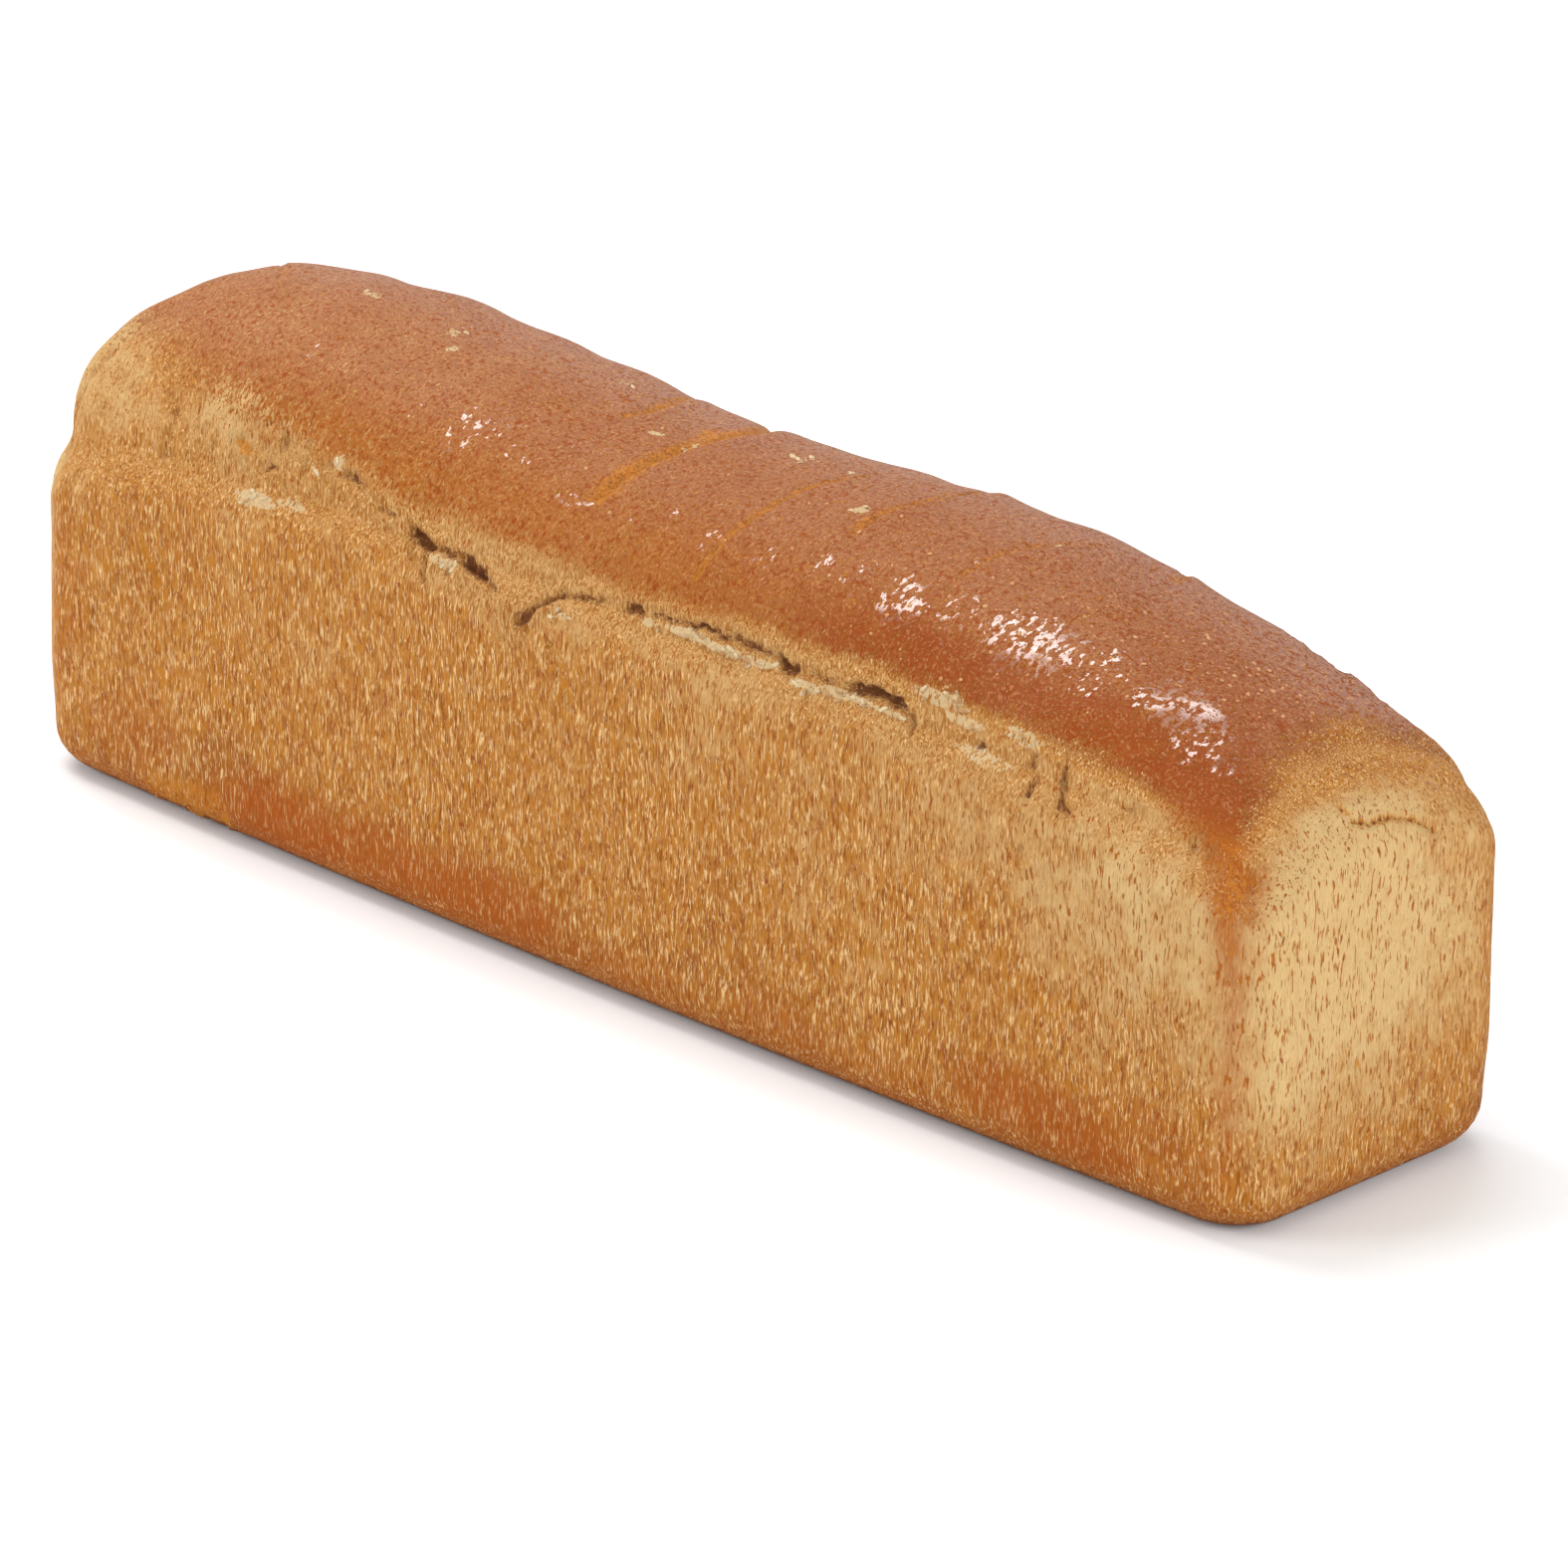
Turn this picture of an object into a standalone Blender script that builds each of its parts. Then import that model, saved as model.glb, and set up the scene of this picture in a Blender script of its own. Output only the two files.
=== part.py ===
"""Long tin loaf, whole and uncut, as one closed solid.

The walls are those of the baking tin and carry a rounded foot. Above the tin's rim the loaf has risen
into a dome. The crust has torn along the rim, and the dome has folds across it. Lengths are in metres.
The length runs along X, the torn long side faces -Y and the flat bottom lies on Z = 0.
"""

import math

import bmesh
import bpy
import numpy as np

# Whole loaf
LENGTH = 0.400
WIDTH = 0.0890
SIDE_BOW = 0.0035
CORNER_RADIUS = 0.0145
FOOT_RADIUS = 0.011
FOOT_TAPER = 0.0005

# Rim of the walls, where the crust tore
RIM_CORNER_HEIGHT = 0.0800
RIM_SIDE_RISE = 0.0140
RIM_END_RISE = 0.0102
SHOULDER_DROP = 0.012
SHOULDER_INSET = 0.0045

# Dome: crown height along the length, and the fullness of its curves
CROWN_PLACES = (-0.19, -0.14, -0.08, -0.02, 0.04, 0.10, 0.15, 0.19)
CROWN_HEIGHTS = (0.1210, 0.1296, 0.1274, 0.1207, 0.1232, 0.1225, 0.1108, 0.0988)
DOME_FULLNESS = 2.0
END_FULLNESS = 3.2
LEFT_END_RUN = 0.052
RIGHT_END_RUN = 0.157

# Tears along the rim of the long side: place, height, half length, half height and depth
TEARS = (
    (-0.118, 0.0925, 0.0080, 0.0030, 0.0012),
    (-0.053, 0.0965, 0.0070, 0.0030, 0.0034),
    (-0.035, 0.0945, 0.0080, 0.0032, 0.0036),
    (-0.014, 0.0890, 0.0060, 0.0045, 0.0030),
    (0.004, 0.0965, 0.0080, 0.0025, 0.0018),
    (0.022, 0.0985, 0.0090, 0.0025, 0.0022),
    (0.046, 0.0990, 0.0110, 0.0025, 0.0026),
    (0.066, 0.0970, 0.0060, 0.0028, 0.0028),
    (0.092, 0.0980, 0.0090, 0.0028, 0.0034),
    (0.138, 0.0905, 0.0030, 0.0050, 0.0020),
    (0.148, 0.0910, 0.0030, 0.0060, 0.0022),
)

# Folds across the dome: place, bend, start and end across the loaf, half width and depth
FOLDS = (
    (-0.036, -0.010, -0.006, 0.034, 0.0045, 0.0011),
    (-0.011, -0.010, -0.028, 0.034, 0.0050, 0.0017),
    (0.032, -0.004, -0.034, 0.016, 0.0042, 0.0009),
    (0.056, -0.012, -0.024, 0.034, 0.0045, 0.0011),
    (0.094, 0.006, -0.020, 0.020, 0.0045, 0.0008),
    (0.120, -0.010, 0.012, 0.036, 0.0045, 0.0009),
    (0.176, -0.016, -0.012, 0.034, 0.0050, 0.0009),
)
FOLD_END_FADE = 0.006

# Slow unevenness of the crust
WAVE_HEIGHT = 0.0005
WAVE_LENGTH = 0.055

# Grid: cells along the loaf, cells from rim to crown, and rows on the walls
CELLS_ALONG = 84
CELLS_TO_CROWN = 10
SHOULDER_ROWS = 4
WALL_ROWS = 5
FOOT_ROWS = 4

CRUST_COLOUR = (0.47, 0.215, 0.055, 1.0)
CRUST_ROUGHNESS = 0.55


def clear_scene():
    """Removes every object that the new file starts with."""
    for item in list(bpy.data.objects):
        bpy.data.objects.remove(item, do_unlink=True)


def smooth_line(places, marks, values):
    """Runs a smooth curve through the values given at the marks.

    Args:
        places: Array of positions to work out.
        marks: Positions at which the value is known, in rising order.
        values: Values at the marks.

    Returns:
        Array of values at the places.
    """
    marks = np.array(marks)
    values = np.array(values)
    slopes = np.gradient(values, marks)
    places = np.clip(places, marks[0], marks[-1])
    cell = np.clip(np.searchsorted(marks, places) - 1, 0, len(marks) - 2)
    step = marks[cell + 1] - marks[cell]
    t = (places - marks[cell]) / step
    start = values[cell] * (1 + 2 * t) * (1 - t) ** 2 + slopes[cell] * step * t * (1 - t) ** 2
    end = values[cell + 1] * t * t * (3 - 2 * t) - slopes[cell + 1] * step * t * t * (1 - t)
    return start + end


def grid_lines(half, half_width, cells):
    """Places the grid lines of one direction, close together near the rim.

    Args:
        half: Half size of the dome in this direction.
        half_width: Half width of the dome, which sets the spacing near the rim.
        cells: Number of cells in this direction.

    Returns:
        Array of cells + 1 positions from -half to half.
    """
    angle = np.linspace(0, math.pi / 2, CELLS_TO_CROWN + 1)
    head = -half + half_width * (1 - np.cos(angle))
    middle = np.linspace(head[-1], -head[-1], cells - 2 * CELLS_TO_CROWN + 1)
    return np.concatenate([head[:-1], middle, -head[:-1][::-1]])


def round_corners(x, y, half_length, half_width, radius):
    """Moves points of a box outline onto the same outline with round corners.

    Args:
        x: Positions along the loaf, on the box outline.
        y: Positions across the loaf, on the box outline.
        half_length: Half length of the outline at each point.
        half_width: Half width of the outline at each point.
        radius: Corner radius at each point.

    Returns:
        The moved positions x and y.
    """
    radius = np.minimum(radius, np.minimum(half_length, half_width))
    core_x = np.clip(x, radius - half_length, half_length - radius)
    core_y = np.clip(y, radius - half_width, half_width - radius)
    out_x = x - core_x
    out_y = y - core_y
    reach = np.maximum(np.hypot(out_x, out_y), 1e-9)
    in_corner = (np.abs(out_x) > 1e-7) & (np.abs(out_y) > 1e-7)
    scale = np.where(in_corner, radius / reach, 1.0)
    return core_x + out_x * scale, core_y + out_y * scale


def bow_sides(x, y, half_width):
    """Pushes the long sides outward towards the middle of the loaf."""
    share = np.clip(1 - (x / (LENGTH / 2)) ** 2, 0, 1)
    return y + y / half_width * SIDE_BOW * share


def rim_height(u, v):
    """Height of the rim at shares u and v of the half length and half width."""
    side = RIM_SIDE_RISE * (1 - np.clip(np.abs(u), 0, 1) ** 4)
    end = RIM_END_RISE * (1 - np.clip(np.abs(v), 0, 1) ** 2)
    return RIM_CORNER_HEIGHT + side + end


def dome_points(x, y, half_length, half_width):
    """Shapes the dome from flat grid points.

    Args:
        x: Grid positions along the loaf.
        y: Grid positions across the loaf.
        half_length: Half length of the dome's foot.
        half_width: Half width of the dome's foot.

    Returns:
        Array of points, one row each.
    """
    inset = np.clip(np.minimum(half_length - np.abs(x), half_width - np.abs(y)), 0, None)
    radius = np.maximum(CORNER_RADIUS - 0.3 * inset, 0.004)
    plan_x, plan_y = round_corners(x, y, half_length - inset, half_width - inset, radius)
    across = np.clip(np.abs(y) / half_width, 0, 1)
    across = np.clip(1 - across ** DOME_FULLNESS, 0, None) ** (1 / DOME_FULLNESS)
    run = np.where(x < 0, LEFT_END_RUN, RIGHT_END_RUN)
    along = np.clip((np.abs(x) - half_length + run) / run, 0, 1)
    along = np.clip(1 - along ** END_FULLNESS, 0, None) ** (1 / END_FULLNESS)
    across = np.maximum(across, 1e-6)
    along = np.maximum(along, 1e-6)
    rise = (across ** -2 + along ** -2 - 1) ** -0.5
    foot = rim_height(x / half_length, y / half_width)
    crown = smooth_line(plan_x, CROWN_PLACES, CROWN_HEIGHTS)
    height = foot + (crown - foot) * rise
    return np.stack([plan_x, bow_sides(plan_x, plan_y, half_width), height], axis=-1)


def wall_points(u, v, row):
    """Shapes the walls, from the ledge at the rim down to the rounded foot.

    Args:
        u: Share of the half length at each point of the outline.
        v: Share of the half width at each point of the outline.
        row: Number of the wall row of each point, counted down from the rim.

    Returns:
        Array of points, one row each.
    """
    rim = rim_height(u, v)
    shoulder = rim - SHOULDER_DROP
    turn = np.clip(row / SHOULDER_ROWS, 0, 1) * math.pi / 2
    fall = np.clip((row - SHOULDER_ROWS) / WALL_ROWS, 0, 1)
    tuck = np.clip((row - SHOULDER_ROWS - WALL_ROWS) / FOOT_ROWS, 0, 1) * math.pi / 2
    inset = SHOULDER_INSET * (1 - np.sin(turn)) + FOOT_TAPER * fall + FOOT_RADIUS * (1 - np.cos(tuck))
    height = shoulder + SHOULDER_DROP * np.cos(turn) - (shoulder - FOOT_RADIUS) * fall
    height = height - FOOT_RADIUS * np.sin(tuck)
    radius = CORNER_RADIUS - 0.5 * FOOT_RADIUS * (1 - np.cos(tuck))
    half_length = LENGTH / 2 - inset
    half_width = WIDTH / 2 - inset
    x, y = round_corners(u * half_length, v * half_width, half_length, half_width, radius)
    return np.stack([x, bow_sides(x, y, half_width), height], axis=-1)


def tear_depth(points):
    """Depth of the tears at points of the torn long side."""
    depth = np.zeros(len(points))
    for place, height, half_length, half_height, deepest in TEARS:
        along = (points[:, 0] - place) / half_length
        up = (points[:, 2] - height) / half_height
        depth += deepest * np.exp(-along ** 4 - up ** 2)
    return np.where(points[:, 1] < 0, depth, 0.0)


def fold_depth(points):
    """Depth of the folds across the dome, each with a low swelling beside it."""
    depth = np.zeros(len(points))
    x = points[:, 0]
    y = points[:, 1]
    for place, bend, start, end, half_width, deepest in FOLDS:
        line = place + bend * (np.clip(y, 0, None) / end) ** 2
        away = (x - line) / half_width
        shape = np.exp(-away ** 2) - 0.35 * np.exp(-(np.abs(away) - 1.6) ** 2 * 2)
        rise = np.clip((y - start) / FOLD_END_FADE, 0, 1)
        fall = np.clip((end - y) / FOLD_END_FADE, 0, 1)
        depth += deepest * shape * rise * fall
    return depth


def crust_waves(points):
    """Slow hollows and swellings of the crust."""
    turns = 2 * math.pi / WAVE_LENGTH
    x = points[:, 0]
    y = points[:, 1]
    z = points[:, 2]
    waves = np.sin(turns * x + 1.3) * np.cos(turns * 0.8 * z + 0.4)
    waves += 0.7 * np.sin(turns * 1.9 * x - 2.1) * np.cos(turns * 1.6 * (z + y) + 1.1)
    return WAVE_HEIGHT * waves


def build_loaf():
    """Builds the loaf as one closed body.

    Returns:
        The loaf's object.
    """
    half_length = LENGTH / 2 - SHOULDER_INSET
    half_width = WIDTH / 2 - SHOULDER_INSET
    cells_across = 2 * CELLS_TO_CROWN
    rows = SHOULDER_ROWS + WALL_ROWS + FOOT_ROWS
    body = bmesh.new()
    column = body.verts.layers.int.new("column")
    line = body.verts.layers.int.new("line")
    depth_row = body.verts.layers.int.new("row")
    bmesh.ops.create_grid(body, x_segments=CELLS_ALONG, y_segments=cells_across, size=1.0)
    for vert in body.verts:
        vert[column] = round((vert.co.x + 1) / 2 * CELLS_ALONG)
        vert[line] = round((vert.co.y + 1) / 2 * cells_across)
    for row in range(1, rows + 1):
        border = [edge for edge in body.edges if edge.is_boundary]
        grown = bmesh.ops.extrude_edge_only(body, edges=border)["geom"]
        for vert in grown:
            if isinstance(vert, bmesh.types.BMVert):
                vert[depth_row] = row
    border = [edge for edge in body.edges if edge.is_boundary]
    bmesh.ops.contextual_create(body, geom=border)

    lines_x = grid_lines(half_length, half_width, CELLS_ALONG)
    lines_y = grid_lines(half_width, half_width, cells_across)
    x = np.array([lines_x[vert[column]] for vert in body.verts])
    y = np.array([lines_y[vert[line]] for vert in body.verts])
    row = np.array([vert[depth_row] for vert in body.verts])
    on_dome = dome_points(x, y, half_length, half_width)
    on_wall = wall_points(x / half_length, y / half_width, row)
    points = np.where(row[:, None] > 0, on_wall, on_dome)
    for vert, point in zip(body.verts, points):
        vert.co = point
    bmesh.ops.recalc_face_normals(body, faces=body.faces)

    body.normal_update()
    normals = np.array([vert.normal for vert in body.verts])
    above_foot = np.clip((points[:, 2] - FOOT_RADIUS) / 0.02, 0, 1)
    relief = crust_waves(points) * above_foot - tear_depth(points)
    relief -= np.where(row == 0, fold_depth(points), 0.0)
    points = points + normals * relief[:, None]
    middle = (points.max(axis=0) + points.min(axis=0)) / 2
    points -= np.array([middle[0], middle[1], points[:, 2].min()])
    for vert, point in zip(body.verts, points):
        vert.co = point

    mesh = bpy.data.meshes.new("loaf")
    body.to_mesh(mesh)
    body.free()
    mesh.shade_smooth()
    return bpy.data.objects.new("loaf", mesh)


def crust_material():
    """Makes the plain baked crust finish."""
    material = bpy.data.materials.new("baked_crust")
    material.use_nodes = True
    finish = material.node_tree.nodes["Principled BSDF"]
    finish.inputs["Base Color"].default_value = CRUST_COLOUR
    finish.inputs["Roughness"].default_value = CRUST_ROUGHNESS
    return material


def main():
    """Builds the loaf in its own collection."""
    clear_scene()
    collection = bpy.data.collections.new("tin_loaf")
    bpy.context.scene.collection.children.link(collection)
    loaf = build_loaf()
    loaf.data.materials.append(crust_material())
    collection.objects.link(loaf)


if __name__ == "__main__":
    main()
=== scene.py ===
"""Long tin loaf on a pale floor, in soft studio light.

The loaf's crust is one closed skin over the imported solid. Its torn rim, folds, cracks and pits are cut
into the skin, torn flakes and small blisters lie on it, and its finish is worked out from masks that
are kept on the skin.
"""

import logging
import math
from dataclasses import dataclass
from enum import Enum

import bmesh
import bpy
import numpy as np
from mathutils import Matrix, Vector, noise


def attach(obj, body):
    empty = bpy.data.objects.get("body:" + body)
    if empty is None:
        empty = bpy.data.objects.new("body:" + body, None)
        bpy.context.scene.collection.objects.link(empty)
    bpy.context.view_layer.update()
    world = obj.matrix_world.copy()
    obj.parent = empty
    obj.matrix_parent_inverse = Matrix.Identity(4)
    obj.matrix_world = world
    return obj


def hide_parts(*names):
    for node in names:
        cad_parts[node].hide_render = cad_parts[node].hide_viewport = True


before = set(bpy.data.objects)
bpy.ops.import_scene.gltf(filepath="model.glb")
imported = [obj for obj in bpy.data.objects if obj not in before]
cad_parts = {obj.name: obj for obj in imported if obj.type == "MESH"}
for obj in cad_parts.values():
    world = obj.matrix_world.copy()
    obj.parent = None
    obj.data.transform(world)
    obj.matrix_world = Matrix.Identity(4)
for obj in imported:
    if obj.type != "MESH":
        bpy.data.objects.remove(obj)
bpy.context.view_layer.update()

LOG = logging.getLogger("tin_loaf")

Colour = tuple[float, float, float]
Place = tuple[float, float, float]
Marks = tuple[tuple[float, float], ...]


class Mask(str, Enum):
    """Masks kept on the crust, each from 0 to 1."""

    BROWNING = "browning"
    TONE = "tone"
    TORN = "torn"
    EMBER = "ember"
    SPLIT = "split"
    # painted shade in tears, cracks, folds and along the bottom edge
    SHADE = "shade"
    GLOSS = "gloss"
    # painted sheen: a pinkish-grey reflection of the white surround, painted on the dome
    PAINTED_SHEEN = "painted_sheen"
    FLAKE = "flake"
    BLISTER = "blister"


def smooth_step(low: float | np.ndarray, high: float | np.ndarray, value: np.ndarray) -> np.ndarray:
    """Rises smoothly from 0 at low to 1 at high.

    Args:
        low: Value at which the result is 0.
        high: Value at which the result is 1.
        value: Values to convert.

    Returns:
        The share of the rise at each value.
    """
    share = np.clip((value - low) / (high - low), 0, 1)
    return share * share * (3 - 2 * share)


def smooth_line(places: np.ndarray, marks: Marks) -> np.ndarray:
    """Runs a smooth curve through marks of (place, value).

    Args:
        places: Places to work out.
        marks: Known places and values, in rising order.

    Returns:
        The curve's value at each place.
    """
    known = np.array([mark[0] for mark in marks])
    values = np.array([mark[1] for mark in marks])
    slopes = np.gradient(values, known)
    places = np.clip(places, known[0], known[-1])
    cell = np.clip(np.searchsorted(known, places) - 1, 0, len(known) - 2)
    step = known[cell + 1] - known[cell]
    t = (places - known[cell]) / step
    start = values[cell] * (1 + 2 * t) * (1 - t) ** 2 + slopes[cell] * step * t * (1 - t) ** 2
    end = values[cell + 1] * t * t * (3 - 2 * t) - slopes[cell + 1] * step * t * t * (1 - t)
    return start + end


def straight_line(places: np.ndarray, marks: Marks) -> np.ndarray:
    """Runs straight lines through marks of (place, value)."""
    return np.interp(places, [mark[0] for mark in marks], [mark[1] for mark in marks])


def random_field(points: np.ndarray, size: Place, seed: float, octaves: int = 2) -> np.ndarray:
    """Works out smooth random values from about -1 to 1.

    Args:
        points: Points in metres, one row each.
        size: Size of the largest features along each axis, in metres.
        seed: Shift that makes one field unlike another.
        octaves: Number of ever finer layers.

    Returns:
        One value for each point.
    """
    shifted = points / np.array(size) + np.array((seed, seed * 1.7, -seed * 0.6))
    return np.array([noise.fractal(Vector(point), 1.0, 2.0, octaves) for point in shifted])


def distance_to_path(u: np.ndarray, v: np.ndarray, path: Marks) -> np.ndarray:
    """Measures how far points of a plane are from a path of straight stretches.

    Args:
        u: First coordinate of the points.
        v: Second coordinate of the points.
        path: The path's corners.

    Returns:
        The distance of each point, less than 0 on the side where u is smaller.
    """
    best = np.full(len(u), 1.0)
    side = np.zeros(len(u))
    for (u0, v0), (u1, v1) in zip(path[:-1], path[1:]):
        du = u1 - u0
        dv = v1 - v0
        t = np.clip(((u - u0) * du + (v - v0) * dv) / (du * du + dv * dv), 0, 1)
        off = u - u0 - t * du
        reach = np.hypot(off, v - v0 - t * dv)
        side = np.where(reach < best, np.where(off < 0, -1.0, 1.0), side)
        best = np.minimum(best, reach)
    return best * side


class NodeSketch:
    """Lays out the nodes of one tree."""

    def __init__(self, tree: bpy.types.NodeTree) -> None:
        """Takes the tree that the nodes go in."""
        self.tree = tree

    def add(self, kind: str, inputs: dict | None = None, **settings: object) -> bpy.types.Node:
        """Adds a node.

        Args:
            kind: The node's type name.
            inputs: Values or sockets for its inputs, by name or number.
            settings: Values of the node's own properties.

        Returns:
            The new node.
        """
        node = self.tree.nodes.new(kind)
        for name, value in settings.items():
            setattr(node, name, value)
        for name, value in (inputs or {}).items():
            self.feed(node.inputs[name], value)
        node.location = (180 * (len(self.tree.nodes) % 12), -220 * (len(self.tree.nodes) // 12))
        return node

    def feed(self, socket: bpy.types.NodeSocket, value: object) -> None:
        """Links a socket to an input, or sets the input's value.

        Args:
            socket: The input.
            value: A socket or node to link, or a plain value.
        """
        if isinstance(value, bpy.types.NodeSocket):
            self.tree.links.new(value, socket)
        elif isinstance(value, bpy.types.Node):
            self.tree.links.new(value.outputs[0], socket)
        else:
            socket.default_value = value

    def math(self, operation: str, *values: object) -> bpy.types.NodeSocket:
        """Adds a Math node.

        Args:
            operation: Name of the operation.
            values: Numbers or sockets that it works on.

        Returns:
            The result.
        """
        node = self.add("ShaderNodeMath", operation=operation)
        for socket, value in zip(node.inputs, values):
            self.feed(socket, value)
        return node.outputs[0]

    def limits(self, value: object, low: float, high: float) -> bpy.types.NodeSocket:
        """Turns the range from low to high into a smooth rise from 0 to 1."""
        values = {"Value": value, "From Min": low, "From Max": high}
        return self.add("ShaderNodeMapRange", values, interpolation_type="SMOOTHSTEP").outputs[0]

    def blend(self, share: object, first: object, second: object) -> bpy.types.NodeSocket:
        """Mixes two numbers."""
        return self.add("ShaderNodeMix", {"Factor": share, "A": first, "B": second}).outputs[0]

    def tint(self, share: object, first: object, second: object) -> bpy.types.NodeSocket:
        """Mixes two colours.

        Args:
            share: Share of the second colour, as a number or a socket.
            first: Colour at 0.
            second: Colour at 1.

        Returns:
            The mixed colour.
        """
        node = self.add("ShaderNodeMix", data_type="RGBA")
        self.feed(node.inputs["Factor"], share)
        for name, value in (("A", first), ("B", second)):
            socket = next(s for s in node.inputs if s.name == name and s.type == "RGBA")
            self.feed(socket, (*value, 1.0) if isinstance(value, tuple) else value)
        return next(s for s in node.outputs if s.type == "RGBA")

    def grain(self, place: object, size: float, detail: float = 2.0) -> bpy.types.NodeSocket:
        """Adds noise of a given feature size in metres."""
        return self.add("ShaderNodeTexNoise", {"Vector": place, "Scale": 1.0 / size, "Detail": detail}).outputs[0]

    def mask(self, name: Mask) -> bpy.types.NodeSocket:
        """Reads one of the crust's masks."""
        return self.add("ShaderNodeAttribute", attribute_name=name.value).outputs["Fac"]


def group_socket(tree: bpy.types.NodeTree, name: str, kind: str, value: object = None, out: bool = False) -> str:
    """Adds a named input or output to a node group.

    Args:
        tree: The group.
        name: Name of the socket.
        kind: The socket's type name.
        value: Its usual value, if it has one.
        out: True for an output.

    Returns:
        The socket's identifier.
    """
    socket = tree.interface.new_socket(name, in_out="OUTPUT" if out else "INPUT", socket_type=kind)
    if value is not None:
        socket.default_value = value
    return socket.identifier


def start_material(name: str) -> tuple[bpy.types.Material, NodeSketch, bpy.types.Node]:
    """Starts a material.

    Args:
        name: The material's name.

    Returns:
        The material, the sketch of its nodes and its shader.
    """
    material = bpy.data.materials.new(name)
    material.use_nodes = True
    return material, NodeSketch(material.node_tree), material.node_tree.nodes["Principled BSDF"]


def start_geometry(name: str, values: dict[str, float]) -> tuple[bpy.types.NodeTree, dict[str, float], NodeSketch]:
    """Starts a geometry tree with named number inputs.

    Args:
        name: The tree's name.
        values: The inputs' values, by name.

    Returns:
        The tree, the values by socket identifier and the sketch of its nodes.
    """
    tree = bpy.data.node_groups.new(name, "GeometryNodeTree")
    tree.is_modifier = True
    group_socket(tree, "Geometry", "NodeSocketGeometry")
    sizes = {group_socket(tree, key, "NodeSocketFloat"): value for key, value in values.items()}
    group_socket(tree, "Geometry", "NodeSocketGeometry", out=True)
    return tree, sizes, NodeSketch(tree)


def close_geometry(sketch: NodeSketch, geometry: bpy.types.Node, material: bpy.types.Material) -> None:
    """Ends a geometry tree in real meshes with their finish.

    Args:
        sketch: The tree's sketch.
        geometry: Node that gives the geometry.
        material: The finish.
    """
    real = sketch.add("GeometryNodeRealizeInstances", {"Geometry": geometry})
    dressed = sketch.add("GeometryNodeSetMaterial", {"Geometry": real, "Material": material})
    sketch.feed(sketch.add("NodeGroupOutput").inputs["Geometry"], dressed)


def put_in_scene(name: str, data: bpy.types.ID) -> bpy.types.Object:
    """Puts a new object into the scene.

    Args:
        name: The object's name.
        data: Its mesh, light or camera.

    Returns:
        The object.
    """
    piece = bpy.data.objects.new(name, data)
    bpy.context.scene.collection.objects.link(piece)
    return piece


def settle(piece: bpy.types.Object, tree: bpy.types.NodeTree, values: dict[str, float]) -> None:
    """Runs a geometry tree on a piece and keeps the result as its plain mesh.

    Args:
        piece: The piece.
        tree: The geometry tree.
        values: Values of the tree's inputs, by socket identifier.
    """
    modifier = piece.modifiers.new(tree.name, "NODES")
    modifier.node_group = tree
    for identifier, value in values.items():
        modifier[identifier] = value
    depsgraph = bpy.context.evaluated_depsgraph_get()
    mesh = bpy.data.meshes.new_from_object(piece.evaluated_get(depsgraph), depsgraph=depsgraph)
    piece.modifiers.remove(modifier)
    old = piece.data
    piece.data = mesh
    mesh.name = piece.name
    bpy.data.meshes.remove(old)


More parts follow.
